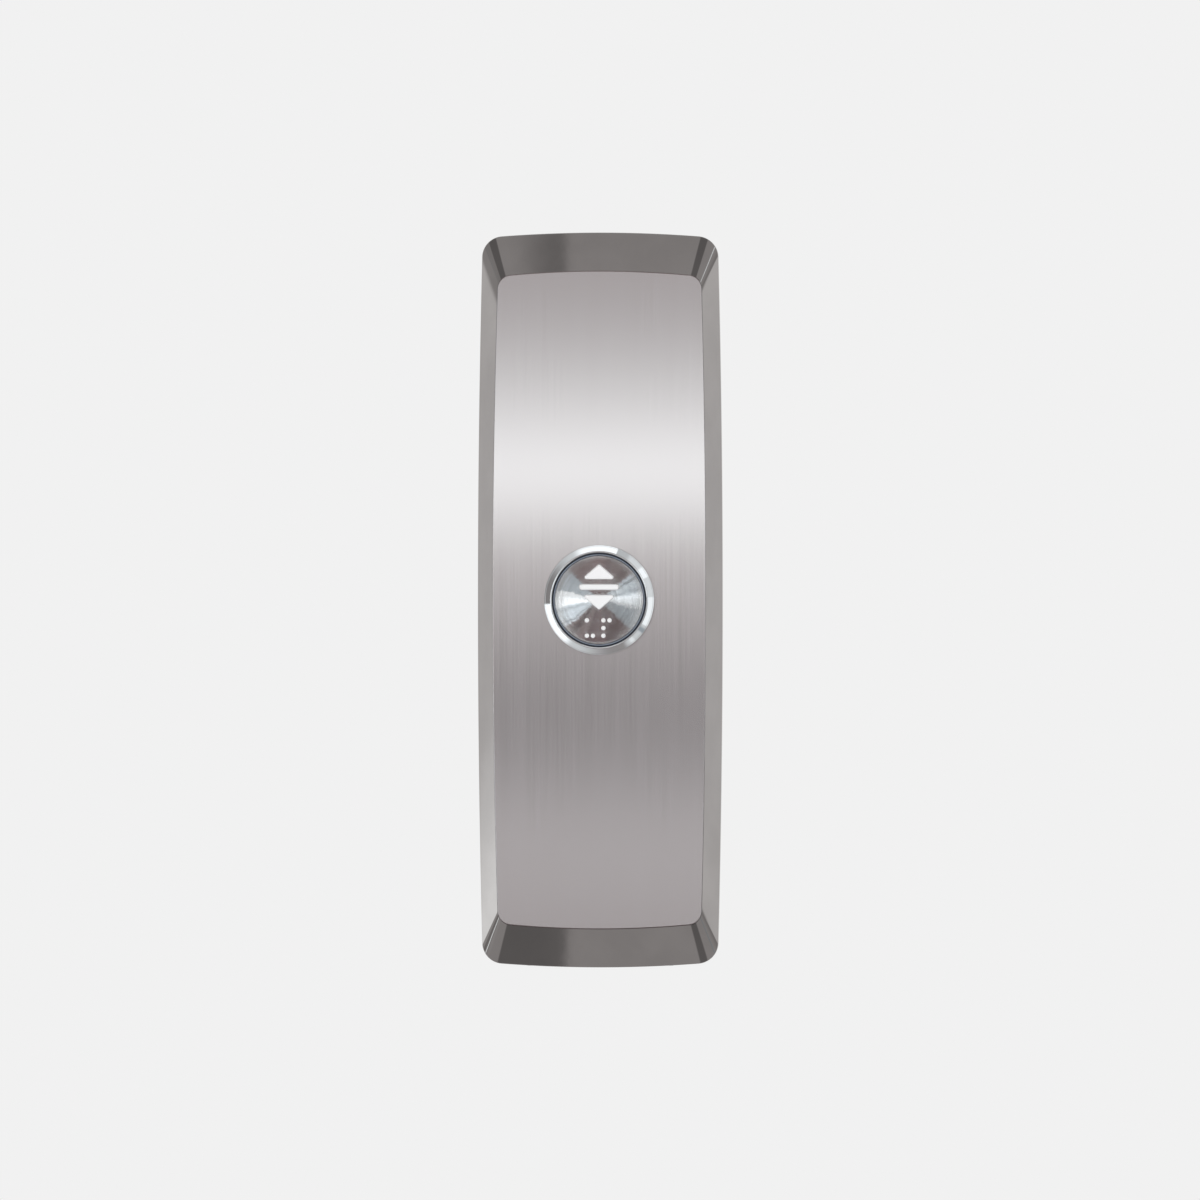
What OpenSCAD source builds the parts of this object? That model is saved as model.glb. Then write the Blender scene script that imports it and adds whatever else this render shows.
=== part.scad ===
// Surface-mounted lift landing panel with one two-way push button.
// Drawn lying on its back: x runs across, y up the wall and z outwards from the wall, in millimetres.
// stand() turns each finished piece upright, with the wall plane at y = 0 and the face towards -y.

/* [Panel] */
// Width of the cover across its middle
panel_w = 84.4; // [80:0.2:100]
// Height of the cover along its middle
panel_h = 253.5; // [246:0.5:300]
// Depth from the wall to the crest of the face
panel_depth = 24; // [23.6:0.2:32]
// How far the long edges bulge beyond the corners
side_bow = 1.7; // [0.6:0.1:2.4]
// How far the short edges bulge beyond the corners
end_bow = 2; // [0.6:0.1:2.6]
// Radius of the cover's outer corners
corner_r = 7.3; // [6:0.1:9]
// Height of the straight side wall above the wall plane
skirt_h = 9; // [8.8:0.1:10.5]

/* [Face plate] */
// Width of the bevel along the long sides, seen from the front
side_bevel = 5.5; // [4.5:0.1:7]
// Width of the bevel along the short ends, seen from the front
end_bevel = 13.4; // [10:0.1:16]
// Radius of the face plate's corners
face_corner_r = 4.8; // [4.2:0.1:7]
// How far the ends of the face lie back from its crest
face_arch = 8; // [4:0.5:9]
// Thickness of the brushed sheet
plate_t = 1.5; // [1.2:0.1:1.8]
// Gap between the sheet's edge and the frame around it
plate_gap = 0.1; // [0.05:0.05:0.2]

/* [Cover frame] */
// Wall thickness of the cast cover frame
cover_wall = 1.8; // [1.5:0.1:2.4]
// Width of the ledge that carries the face plate
ledge_w = 3.4; // [2.5:0.1:3.8]
// Thickness of that ledge
ledge_t = 1.6; // [1.2:0.1:2]
// Thickness of the bonding tape on the ledge
tape_t = 0.5; // [0.3:0.1:0.8]
// Gap between the cover's rim and the wall
rim_lift = 0.3; // [0.1:0.1:0.5]
// Distance of the two hooks and of the two cover screws from the cover's sides
catch_inset = 20; // [18:1:24]
// Width of each hook
hook_w = 10; // [8:1:11]
// Thickness of each hook
hook_t = 2.2; // [1.8:0.1:2.6]
// Height of the cover screws and hooks above the wall
catch_z = 4.9; // [4.8:0.1:5.2]

/* [Wall tray] */
// Thickness of the folded sheet
tray_t = 1.2; // [1:0.1:1.3]
// Inner bend radius of the folds
bend_r = 1; // [0.8:0.1:1.1]
// Height of the folded walls
tray_wall_h = 8; // [7.6:0.1:8.2]
// Gap between the tray and the cover at the corners
tray_gap = 0.5; // [0.3:0.1:1]
// Distance across between the wall-fixing slots
fix_pitch_x = 46; // [36:1:50]
// Distance up the wall between the wall-fixing slots
fix_pitch_y = 220; // [214:1:222]
// Width of a wall-fixing slot
fix_slot_w = 5.5; // [4.5:0.5:6]
// End-to-end length of a wall-fixing slot
fix_slot_len = 11; // [8:0.5:14]
// Width of the cable window
window_w = 46; // [30:1:50]
// Height of the cable window
window_h = 28; // [18:1:34]
// Height of the window's centre above the button
window_y = 64; // [58:1:70]
// Wall thickness of the window's plastic liner
liner_t = 1.2; // [0.8:0.1:1.6]
// Width of the liner's flange on the tray's floor
liner_flange = 3; // [2:0.5:4]
// Height of that flange
liner_h = 1.2; // [0.8:0.1:2]

/* [Push button] */
// Diameter of the round cap
cap_d = 30.5; // [28:0.5:31]
// Height of the cap's face above the crest
cap_rise = 2; // [1.7:0.1:2.2]
// Thickness of the cap's face
cap_t = 1; // [0.8:0.1:1.2]
// Depth of the cap from its face to the end of its skirt
cap_skirt = 2.8; // [2.6:0.1:2.9]
// Wall thickness of the cap's skirt
cap_wall = 0.8; // [0.6:0.1:1]
// Chamfer round the cap's face
cap_chamfer = 0.2; // [0.1:0.1:0.6]
// Travel of the button
travel = 1.6; // [1.2:0.1:2]
// Running clearance round the cap and the plunger
run_gap = 0.15; // [0.1:0.05:0.3]
// Wall thickness of the dark light ring round the cap
halo_t = 0.7; // [0.6:0.1:1.1]
// Wall thickness of the button's barrel
barrel_wall = 1.4; // [1.2:0.1:1.6]
// Outer diameter of the chrome bezel
bezel_d = 38; // [37.8:0.1:42]
// Height of the bezel's inner edge above the crest
bezel_rise = 2.45; // [2.3:0.05:2.8]
// Height of the bezel's outer edge above the crest
bezel_edge = 0.9; // [0.7:0.1:1.6]
// Thickness of the rubber gasket under the barrel's flange
gasket_t = 0.5; // [0.4:0.1:0.6]
// Thickness of the symbol lens behind the cap
lens_t = 0.8; // [0.6:0.1:0.9]
// How far the symbols stand above the cap
symbol_rise = 0.5; // [0.2:0.1:0.8]
// Length of the return spring between its seats
spring_len = 7.5; // [7.2:0.1:7.8]
// Wire diameter of the return spring
spring_wire = 0.7; // [0.5:0.1:0.8]
// Number of turns of the return spring
spring_turns = 5; // [4:0.5:6]
// Width of the ring nut's rim outside the barrel
nut_rim = 3.45; // [2.5:0.05:5.5]
// Thickness of the ring nut
nut_t = 4; // [3:0.5:5]
// Thickness of the washer under the ring nut
washer_t = 0.6; // [0.4:0.1:0.8]

/* [Symbols] */
// Height of the symbols' middle above the button's centre
symbol_y = 4.6; // [4.2:0.1:4.8]
// Width of an arrow before its corners are rounded
arrow_w = 11.8; // [9:0.1:12.2]
// Height of an arrow before its corners are rounded
arrow_h = 5.3; // [4.5:0.05:5.5]
// Corner radius of the arrows
arrow_r = 0.5; // [0.3:0.1:0.7]
// Distance from the bar's middle to the base of each arrow
arrow_gap = 2.68; // [2.2:0.02:2.8]
// Length of the bar between the arrows
bar_w = 14; // [11:0.1:15]
// Height of the bar
bar_h = 2.1; // [1.6:0.1:2.4]
// Corner radius of the bar
bar_r = 0.3; // [0.1:0.1:0.6]
// Diameter of a braille dot
dot_d = 1.5; // [1.3:0.1:1.6]
// Height of a braille dot above the cap
dot_h = 0.5; // [0.4:0.1:0.6]
// Distance between the two columns of a braille cell
dot_pitch_x = 2.1; // [2:0.1:2.4]
// Distance between the rows of a braille cell
dot_pitch_y = 2.65; // [2.2:0.05:2.7]
// Distance between the two braille cells
cell_pitch = 5.7; // [5.4:0.1:6.2]
// Height of the top row of dots, below the button's centre
dot_row_y = 7; // [6.8:0.1:7.2]
// Sideways place of the braille word
braille_x = -0.3; // [-0.6:0.1:0.6]

/* [Micro-switch] */
// Length of the switch case
switch_l = 12.8; // [12.4:0.1:13.2]
// Width of the switch case
switch_w = 5.8; // [5.4:0.1:6.2]
// Height of the switch case
switch_h = 6.3; // [6:0.1:6.4]
// Distance from the lever's hinge to the plunger's post
lever_arm = 11.1; // [10.4:0.1:11.4]
// Distance from the lever's hinge to the switch's own plunger
pin_arm = 3.6; // [3.2:0.1:4]
// Thickness of the lever
lever_t = 0.3; // [0.2:0.05:0.4]
// Width of the lever
lever_w = 3.2; // [2.8:0.1:3.4]

/* [Boards] */
// Width of the landing board
board_w = 62; // [60:1:66]
// Height of the landing board
board_h = 68; // [67:1:72]
// Thickness of both boards
board_t = 1.6; // [1.2:0.1:1.8]
// Distance of the landing board's centre below the button
board_y = 68; // [67:0.5:69]
// Distance of the fixing holes from the board's edges
board_edge = 4; // [3.5:0.5:4.5]
// Height of the standoffs above the tray's floor
standoff_h = 6; // [5:0.5:7]
// Size of the standoffs across their flats
standoff_af = 5.5; // [5:0.5:6]
// Height of the buzzer
buzzer_h = 6.5; // [5:0.5:7]
// Diameter of the buzzer
buzzer_d = 12; // [9:0.5:12]
// Diameter of the address switch's dial
dial_d = 6; // [5:0.5:7]

/* [Harness] */
// Spacing of the connector pins
pin_pitch = 2.5; // [2.3:0.1:2.6]
// Outer diameter of a harness wire
wire_d = 1.3; // [1:0.1:1.5]
// Outer diameter of the earth lead
earth_d = 2.2; // [1.8:0.1:2.6]
// Height up the wall of the tray's earth stud
tray_earth_y = 16; // [12:1:20]
// Height up the wall of the cover's earth stud
cover_earth_y = 48; // [46:1:52]
// Height above the wall of the cover's earth boss
earth_boss_z = 13; // [12:0.5:14]

/* [Hidden] */
$fn = 64;

// Points along each eighth of an outline: half a long side, a corner, half a short side
side_steps = 12;
corner_steps = 8;
end_steps = 5;
// Clearance between pieces that are fitted into one another by hand
fit_gap = 0.05;
// Overshoot of a cut, so that it leaves no skin
cut = 1;

// Face: the arc that its long section follows, and the seat of the sheet in the frame
face_hw = panel_w / 2 - side_bevel;
face_hh = panel_h / 2 - end_bevel;
face_r = arc_radius(face_hh, face_arch);
seat_depth = plate_t + tape_t;

// Tray
tray_hw = panel_w / 2 - side_bow - cover_wall - tray_gap;
tray_hh = panel_h / 2 - end_bow - cover_wall - tray_gap;
bend_out = bend_r + tray_t;
corner_relief = 6;
window_corner_r = 5;

// Cover catches: hooks at the top, screws at the bottom
catch_x = panel_w / 2 - catch_inset;
cover_end = panel_h / 2 - arc_drop(arc_radius(panel_w / 2, end_bow), catch_x);
catch_boss_r = 3.5;
catch_gap = 0.15;
screw_r = 1.45;
screw_head_r = 3;
screw_head_h = 1.5;
clinch_r = 2.5;
clinch_h = 2.5;
clinch_collar_r = 2;
hook_gap = 0.4;
hook_reach = 4;

// Earth studs and their lugs
stud_r = 1.95;
stud_h = 5;
stud_root = 2.5;
earth_nut_af = 7;
earth_nut_h = 2.6;
earth_boss_r = 3.4;
lug_r = 3.6;
lug_t = 0.8;
lug_reach = 5;
crimp_wall = 0.5;
crimp_len = 4.5;
earth_x = -(tray_hw - tray_t - lug_r - 2);

// Radii of the button, from the cap outwards
cap_r = cap_d / 2;
halo_in_r = cap_r + run_gap;
halo_r = halo_in_r + halo_t;
barrel_in_r = halo_r + fit_gap;
barrel_r = barrel_in_r + barrel_wall;
plate_hole_r = barrel_r + run_gap;
bezel_r = bezel_d / 2;
bezel_in_r = halo_r + 0.25;
flange_r = bezel_r - 0.45;
halo_flange_r = barrel_r - 0.3;
key_w = 3;
key_h = 0.5;

// Heights of the button, from the face inwards
flange_t = 0.7;
halo_flange_t = 0.5;
flange_z = panel_depth + gasket_t;
halo_seat_z = flange_z + flange_t;
halo_z1 = halo_seat_z + halo_flange_t;
bezel_foot_z = panel_depth + 2 * fit_gap;
cap_z1 = panel_depth + cap_rise;
cap_z0 = cap_z1 - cap_t;
skirt_z0 = cap_z1 - cap_skirt;
lens_z1 = cap_z0 - fit_gap;
lens_z0 = lens_z1 - lens_t;
halo_z0 = skirt_z0 - 1;

// Plunger that carries the cap, and its spring
plunger_flange_t = 0.8;
plunger_z1 = halo_z0 - fit_gap;
plunger_z0 = plunger_z1 - plunger_flange_t;
plunger_guide_h = 2.8;
stop_r = barrel_in_r - run_gap;
seat_r = cap_r - cap_wall - 2 * fit_gap;
spring_r = cap_r - 0.7;
guide_r = spring_r - spring_wire / 2 - 0.4;
guide_in_r = guide_r - 1;
// The barrel's ribs reach in as far as the light ring does, so the cap's skirt passes them
rib_w = 2;
rib_h = halo_t + fit_gap;

// Barrel behind the face
shelf_t = 2.5;
shelf_z1 = plunger_z0 - spring_len;
shelf_z0 = shelf_z1 - shelf_t;
stop_z = plunger_z0 - plunger_guide_h - travel - fit_gap;
switch_board_z0 = shelf_z0 - board_t;
cap_post_r = 2.8;
cap_screw_at = barrel_in_r - 2.4;
cap_screw_r = 0.95;
cap_screw_head_r = 1.9;
cap_screw_head_h = 1.1;
cap_screw_depth = 6;
nut_r = barrel_r + nut_rim;
washer_z1 = panel_depth - plate_t - face_drop(nut_r) - fit_gap;
nut_z1 = washer_z1 - washer_t;

// Micro-switch: the lever is level when the button is fully pressed
hinge_x = -5.6;
hinge_r = 0.3;
hinge_barrel_r = 0.6;
hinge_ear_t = 0.6;
switch_z1 = shelf_z0 + switch_h;
hinge_z = switch_z1 + hinge_barrel_r + 0.15;
lever_turn = travel / lever_arm * 180 / PI;
lever_tip = 1.3;
post_r = 1.2;
pin_r = 0.8;
pin_h = 1.4;
pin_travel = travel * pin_arm / lever_arm;
post_z = hinge_z + lever_arm * tan(lever_turn) + (post_r + lever_t / 2 + fit_gap) / cos(lever_turn);
pin_z = hinge_z + pin_arm * tan(lever_turn) - (pin_r + lever_t / 2 + fit_gap) / cos(lever_turn);
bridge_w = 3;
bridge_t = 1.6;
terminal_pitch = 5.08;
led_angle = 41;
led_w = 3;

// Landing board, with the places of its parts measured from its centre
board_z0 = tray_t + standoff_h;
board_z1 = board_z0 + board_t;
hole_x = board_w / 2 - board_edge;
hole_y = board_h / 2 - board_edge;
standoff_shank_r = 2.1;
board_screw_r = 1.45;
board_screw_head_r = 2.8;
board_screw_head_h = 1.8;
header_place = [-9, 22];
field_place = [14, 20];
chip_place = [0, -6];
transceiver_place = [0, -22];
regulator_place = [23, -4];
dial_place = [18, -22];
buzzer_place = [-18, -20];
capacitor_places = [[-26, -2], [-18, -2]];
can_r = 3.15;
can_h = 5.8;
can_foot = 6.6;
can_foot_h = 1;
part_w = 1.2;
part_l = 2;
part_h = 0.6;
part_pitch = 2.8;
part_rows = [[-12, 3.4, 6], [-9, -29, 4]];
part_column = [11, -8];
crystal_place = [-9.8, -14.5];
crystal_w = 3.2;
crystal_l = 2.5;
crystal_h = 0.9;
dial_case = 10;
dial_case_h = 3.6;
dial_floor = 0.6;
dial_h = 3.2;

// Field connector, four ways: a socket on the board and a screw plug in it
field_ways = 4;
field_pitch = 3.81;
field_w = field_ways * field_pitch + 1.2;
field_h = 8.4;
field_d = 9;
field_wall = 1;
field_back = 1.2;
field_nose = 8;
field_tail = 7;
field_plug_y = field_place.y - field_d / 2 + field_back + 0.1;
field_screw_y = field_nose + 3.2;
field_screw_z = 3.9;
field_screw_r = 1.35;

// Pin headers with four ways, and the plugs in them
ways = 4;
header_side = 1.2;
header_w = ways * pin_pitch + 2 * header_side;
header_h = 5;
header_d = 7;
header_wall = 0.8;
header_back = 1.4;
pin_side = 0.6;
pin_bend = 1.2;
plug_gap = 0.1;
plug_w = header_w - 2 * header_wall - 2 * plug_gap;
plug_h = header_h - 2 * header_wall - 2 * plug_gap;
plug_d = 8;
plug_in = 5.2;
plug_tail = header_d - plug_in + plug_d;
wire_in = 1.8;
wire_bow = 9;
earth_bow = 8;
header_room = 2;
rear_cap_t = 1.4;
rear_cap_room = 0.4;
button_header_y = header_d + header_room - barrel_r;
rear_cap_z1 = switch_board_z0 - header_h - rear_cap_room;
rear_cap_z0 = rear_cap_z1 - rear_cap_t;

// Radius of the shallow arc with this half chord and this height
function arc_radius(half_chord, bow) = (half_chord * half_chord + bow * bow) / (2 * bow);

// How far an arc of radius r falls away at distance d from its crest
function arc_drop(r, d) = r - sqrt(r * r - d * d);

function face_drop(y) = arc_drop(face_r, y);
function face_z(y) = panel_depth - face_drop(y);

// Points along an arc, without its first one
function arc(centre, r, from, to, steps) =
    [for (i = [1:steps]) let (a = from + (to - from) * i / steps) centre + r * [cos(a), sin(a)]];

// Where two circles meet, on the left of the line from the first centre to the second
function circles_meet(c0, r0, c1, r1) =
    let (gap = norm(c1 - c0),
        along = (r0 * r0 - r1 * r1 + gap * gap) / (2 * gap),
        u = (c1 - c0) / gap)
    c0 + along * u + sqrt(r0 * r0 - along * along) * [-u.y, u.x];

// Cushion outline: four shallow arcs joined by tangent corner arcs, drawn set in from its edge
function outline(half_w, half_h, r, inset) =
    let (side_r = arc_radius(half_h, side_bow),
        end_r = arc_radius(half_w, end_bow),
        side_c = [half_w - side_r, 0],
        end_c = [0, half_h - end_r],
        corner_c = circles_meet(side_c, side_r - r, end_c, end_r - r),
        from_side = corner_c - side_c,
        from_end = corner_c - end_c,
        a0 = atan2(from_side.y, from_side.x),
        a1 = atan2(from_end.y, from_end.x))
    in_four_quarters(concat([[half_w - inset, 0]],
        arc(side_c, side_r - inset, 0, a0, side_steps),
        arc(corner_c, r - inset, a0, a1, corner_steps),
        arc(end_c, end_r - inset, a1, 90, end_steps)));

// A quarter outline from the x axis to the y axis, carried round all four quarters
function in_four_quarters(q) = let (n = len(q))
    concat(q,
        [for (i = [n - 2:-1:0]) [-q[i].x, q[i].y]],
        [for (i = [1:n - 1]) [-q[i].x, -q[i].y]],
        [for (i = [n - 2:-1:1]) [q[i].x, -q[i].y]]);

function cover_outline(inset) = outline(panel_w / 2, panel_h / 2, corner_r, inset);
function face_outline(inset) = outline(face_hw, face_hh, face_corner_r, inset);

// A ring at one height, and a ring that follows the arched face at a depth below it
function level_ring(points, z) = [for (p = points) [p.x, p.y, z]];
function arched_ring(points, depth) = [for (p = points) [p.x, p.y, face_z(p.y) - depth]];

// Closed skin through rings of equally many points, the last ring joined to the first
module ring_loft(rings) {
    count = len(rings[0]);
    turns = len(rings);
    function at(i, j) = (i % turns) * count + j % count;
    polyhedron(
        points = [for (ring = rings) for (p = ring) p],
        faces = [for (i = [0:turns - 1]) for (j = [0:count - 1])
            for (face = [[at(i, j), at(i + 1, j), at(i + 1, j + 1)],
                [at(i, j), at(i + 1, j + 1), at(i, j + 1)]]) face]);
}

// One corner of a polygon, rounded by the arc that touches both its edges
function rounded_corner(before, at, after, r, steps) =
    let (u = (before - at) / norm(before - at),
        v = (after - at) / norm(after - at),
        half = acos(u * v) / 2,
        centre = at + (u + v) / norm(u + v) * r / sin(half),
        start = at + u * r / tan(half) - centre,
        end = at + v * r / tan(half) - centre,
        a0 = atan2(start.y, start.x),
        turn = atan2(start.x * end.y - start.y * end.x, start * end))
    [for (i = [0:steps]) let (a = a0 + turn * i / steps) centre + r * [cos(a), sin(a)]];

function rounded_polygon(points, r, steps = 6) = let (n = len(points))
    [for (i = [0:n - 1])
        for (p = rounded_corner(points[(i + n - 1) % n], points[i], points[(i + 1) % n], r, steps)) p];

function rectangle(w, h) = [[-w / 2, -h / 2], [w / 2, -h / 2], [w / 2, h / 2], [-w / 2, h / 2]];
function rounded_rectangle(w, h, r) = rounded_polygon(rectangle(w, h), r);

// Points of a smooth curve that leaves a towards b and arrives at d from c
function bezier(a, b, c, d, steps) = [for (i = [0:steps]) let (t = i / steps, s = 1 - t)
    s * s * s * a + 3 * s * s * t * b + 3 * s * t * t * c + t * t * t * d];

// Tube of round section swept along points, kept level by the z axis
module swept_tube(path, d, sides = 8) {
    last = len(path) - 1;
    function along(i) = let (t = path[min(i + 1, last)] - path[max(i - 1, 0)]) t / norm(t);
    function across(t) = let (s = cross(t, [0, 0, 1])) s / norm(s);
    polyhedron(
        points = [for (i = [0:last]) let (t = along(i), s = across(t), u = cross(s, t))
            for (k = [0:sides - 1]) let (a = 360 * k / sides) path[i] + d / 2 * (cos(a) * s + sin(a) * u)],
        faces = concat(
            [[for (k = [sides - 1:-1:0]) k]],
            [[for (k = [0:sides - 1]) last * sides + k]],
            [for (i = [0:last - 1]) for (k = [0:sides - 1]) let (m = (k + 1) % sides)
                for (face = [[i * sides + k, (i + 1) * sides + m, (i + 1) * sides + k],
                    [i * sides + k, i * sides + m, (i + 1) * sides + m]]) face]));
}

module stand() rotate([90, 0, 0]) children();

module block(w, d, h) translate([-w / 2, -d / 2, 0]) cube([w, d, h]);

module rounded_block(w, d, h, r) linear_extrude(h) polygon(rounded_rectangle(w, d, r));

// Tube from z0 to z1
module tube(r, in_r, z0, z1) translate([0, 0, z0]) difference() {
    cylinder(r = r, h = z1 - z0);
    translate([0, 0, -cut]) cylinder(r = in_r, h = z1 - z0 + 2 * cut);
}

// Round-ended slot along x
module slot(length, w, h) {
    for (side = [-1, 1]) translate([side * (length - w) / 2, 0, 0]) cylinder(r = w / 2, h = h);
    block(length - w, w, h);
}

// Solid below the arched face, set back by a depth
module arch(depth) translate([0, 0, panel_depth - face_r]) rotate([0, 90, 0])
    cylinder(r = face_r - depth, h = panel_w, center = true, $fn = 720);

// Sheet that follows the arch between two depths, with the face's outline set in
module arched_sheet(depth, t, inset) intersection() {
    linear_extrude(panel_depth + cut) polygon(face_outline(inset));
    difference() {
        arch(depth);
        arch(depth + t);
    }
}

module at_catches() for (side = [-1, 1]) translate([side * catch_x, 0, 0]) children();
module at_fixings() for (x = [-1, 1], y = [-1, 1])
    translate([x * fix_pitch_x / 2, y * fix_pitch_y / 2, 0]) children();
module at_board(place = [0, 0], z = board_z1) translate([place.x, place.y - board_y, z]) children();
module at_board_holes(z) for (x = [-hole_x, hole_x], y = [-hole_y, hole_y]) at_board([x, y], z) children();
module at_tray_earth() translate([earth_x, tray_earth_y, tray_t]) children();
module at_cover_earth() translate([earth_x, cover_earth_y, earth_boss_z]) rotate([180, 0, 0]) children();

// Cast cover: straight side wall, mirror-polished bevel, and a ledge for the face plate
module bevel_frame() color("dimgray") difference() {
    union() {
        ring_loft([level_ring(cover_outline(0), rim_lift),
            level_ring(cover_outline(0), skirt_h),
            arched_ring(face_outline(0), 0),
            arched_ring(face_outline(0), seat_depth),
            arched_ring(face_outline(ledge_w), seat_depth),
            arched_ring(face_outline(ledge_w), seat_depth + ledge_t),
            level_ring(cover_outline(cover_wall), skirt_h - cover_wall / 2),
            level_ring(cover_outline(cover_wall), rim_lift)]);
        at_catches() cover_catches();
        earth_boss();
    }
    at_catches() cover_screw_hole();
    at_cover_earth() translate([0, 0, -stud_root - fit_gap])
        cylinder(r = stud_r + fit_gap, h = stud_root + cut);
}

// Screw boss on the lower wall and hook on the upper wall, each rooted in the wall's thickness
module cover_catches() {
    root = cover_end - cover_wall / 2;
    boss_y = tray_hh + catch_gap;
    translate([0, -boss_y, catch_z]) rotate([90, 0, 0]) cylinder(r = catch_boss_r, h = root - boss_y);
    translate([-hook_w / 2, tray_hh - hook_reach, catch_z - hook_t / 2])
        cube([hook_w, root - tray_hh + hook_reach, hook_t]);
}

module cover_screw_hole() translate([0, -cover_end, catch_z]) rotate([-90, 0, 0]) {
    cylinder(r = screw_r + 2 * fit_gap, h = cover_end - tray_hh + cut);
    cylinder(r1 = screw_head_r + 2 * fit_gap, r2 = screw_r + 2 * fit_gap, h = screw_head_h);
    translate([0, 0, -cut]) cylinder(r = screw_head_r + 2 * fit_gap, h = cut);
}

// Boss for the cover's earth stud, tied into the side wall by a web
module earth_boss() {
    top = face_z(cover_earth_y) - seat_depth - ledge_t / 2;
    translate([earth_x, cover_earth_y, earth_boss_z]) cylinder(r = earth_boss_r, h = top - earth_boss_z);
    translate([-face_hw, cover_earth_y - earth_boss_r, earth_boss_z + 2])
        cube([face_hw + earth_x, 2 * earth_boss_r, 2]);
}

// Brushed sheet, curved about one axis, with the keyed hole for the button
module face_plate() color("silver") difference() {
    arched_sheet(0, plate_t, plate_gap);
    cylinder(r = plate_hole_r, h = panel_depth + cut);
    translate([-key_w / 2 - run_gap, -barrel_r - key_h - run_gap, 0])
        cube([key_w + 2 * run_gap, barrel_r, panel_depth + cut]);
}

module bonding_tape() color("white") difference() {
    arched_sheet(plate_t + fit_gap / 2, tape_t - fit_gap, 2 * plate_gap);
    linear_extrude(panel_depth) polygon(face_outline(ledge_w - 2 * fit_gap));
}

// Folded wall tray: a floor, and a wall along each edge with its own bend
module base_tray() color("lightsteelblue") difference() {
    union() {
        folded_channel(tray_hw, tray_hh - corner_relief);
        rotate(90) folded_channel(tray_hh, tray_hw - corner_relief);
        block(2 * (tray_hw - bend_out), 2 * (tray_hh - bend_out), tray_t);
    }
    at_fixings() translate([0, 0, -cut]) slot(fix_slot_len, fix_slot_w, tray_t + 2 * cut);
    translate([0, window_y, -cut]) rounded_block(window_w, window_h, tray_t + 2 * cut, window_corner_r);
    at_board_holes(-cut) cylinder(r = standoff_shank_r + fit_gap, h = tray_t + 2 * cut);
    translate([earth_x, tray_earth_y, -cut]) cylinder(r = stud_r + fit_gap, h = tray_t + 2 * cut);
    at_catches() {
        translate([0, -tray_hh - cut, catch_z]) rotate([-90, 0, 0])
            cylinder(r = clinch_collar_r + fit_gap, h = tray_t + 2 * cut);
        translate([-hook_w / 2 - 2 * hook_gap, tray_hh - tray_t - cut, catch_z - hook_t / 2 - hook_gap])
            cube([hook_w + 4 * hook_gap, tray_t + 2 * cut, hook_t + 2 * hook_gap]);
    }
}

// Floor with a folded wall along each long side, reaching as far up as down
module folded_channel(half, reach) translate([0, reach, 0]) rotate([90, 0, 0]) linear_extrude(2 * reach) {
    translate([bend_out - half, 0]) square([2 * (half - bend_out), tray_t]);
    for (side = [0, 1]) mirror([side, 0]) {
        translate([half - bend_out, bend_out]) intersection() {
            difference() {
                circle(bend_out);
                circle(bend_r);
            }
            translate([0, -bend_out]) square(bend_out);
        }
        translate([half - tray_t, bend_out]) square([tray_t, tray_wall_h - bend_out]);
    }
}

// Plastic liner of the cable window: a sleeve through the floor and a flange on it
module window_liner() color("black") translate([0, window_y, 0]) difference() {
    union() {
        translate([0, 0, fit_gap])
            rounded_block(window_w - 2 * fit_gap, window_h - 2 * fit_gap, tray_t, window_corner_r);
        translate([0, 0, tray_t]) rounded_block(window_w + 2 * liner_flange, window_h + 2 * liner_flange,
            liner_h, window_corner_r + liner_flange);
    }
    translate([0, 0, -cut]) rounded_block(window_w - 2 * liner_t, window_h - 2 * liner_t,
        tray_t + liner_h + 2 * cut, window_corner_r - liner_t);
}

module clinch_nuts() color("gainsboro") at_catches()
    translate([0, fit_gap - tray_hh, catch_z]) rotate([-90, 0, 0]) {
        tube(clinch_collar_r, screw_r + fit_gap, 0, tray_t);
        tube(clinch_r, screw_r + fit_gap, tray_t - fit_gap, tray_t + clinch_h);
    }

// Countersunk screws up through the cover's lower wall
module cover_screws() color("silver") at_catches()
    translate([0, fit_gap - cover_end, catch_z]) rotate([-90, 0, 0]) difference() {
        union() {
            cylinder(r1 = screw_head_r, r2 = screw_r, h = screw_head_h);
            cylinder(r = screw_r, h = cover_end - tray_hh + tray_t + clinch_h + 0.5);
        }
        translate([0, 0, -cut]) cylinder(r = 1.15, h = cut + 1, $fn = 6);
    }

module board_standoffs() color("gainsboro") at_board_holes(0) difference() {
    union() {
        translate([0, 0, fit_gap]) cylinder(r = standoff_shank_r, h = tray_t);
        translate([0, 0, tray_t]) cylinder(r = standoff_af / sqrt(3), h = standoff_h, $fn = 6);
    }
    translate([0, 0, tray_t + cut]) cylinder(r = board_screw_r + fit_gap, h = standoff_h);
}

module main_board() color("darkgreen") difference() {
    at_board(z = board_z0) rounded_block(board_w, board_h, board_t, 2);
    at_board_holes(board_z0 - cut) cylinder(r = board_screw_r + 3 * fit_gap, h = board_t + 2 * cut);
    at_board(header_place) pin_holes();
    at_board(field_place) for (i = [0:field_ways - 1])
        translate([(i - (field_ways - 1) / 2) * field_pitch, 0, -board_t - cut])
            cylinder(r = 0.7, h = board_t + 2 * cut);
}

module board_screws() color("silver") at_board_holes(board_z1) difference() {
    union() {
        cylinder(r = board_screw_head_r, h = board_screw_head_h);
        translate([0, 0, 1.5 - board_t - standoff_h])
            cylinder(r = board_screw_r, h = board_t + standoff_h - 1.5);
    }
    for (a = [0, 90]) rotate(a) translate([0, 0, board_screw_head_h - 0.9]) block(3.4, 0.7, cut);
}

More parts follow.
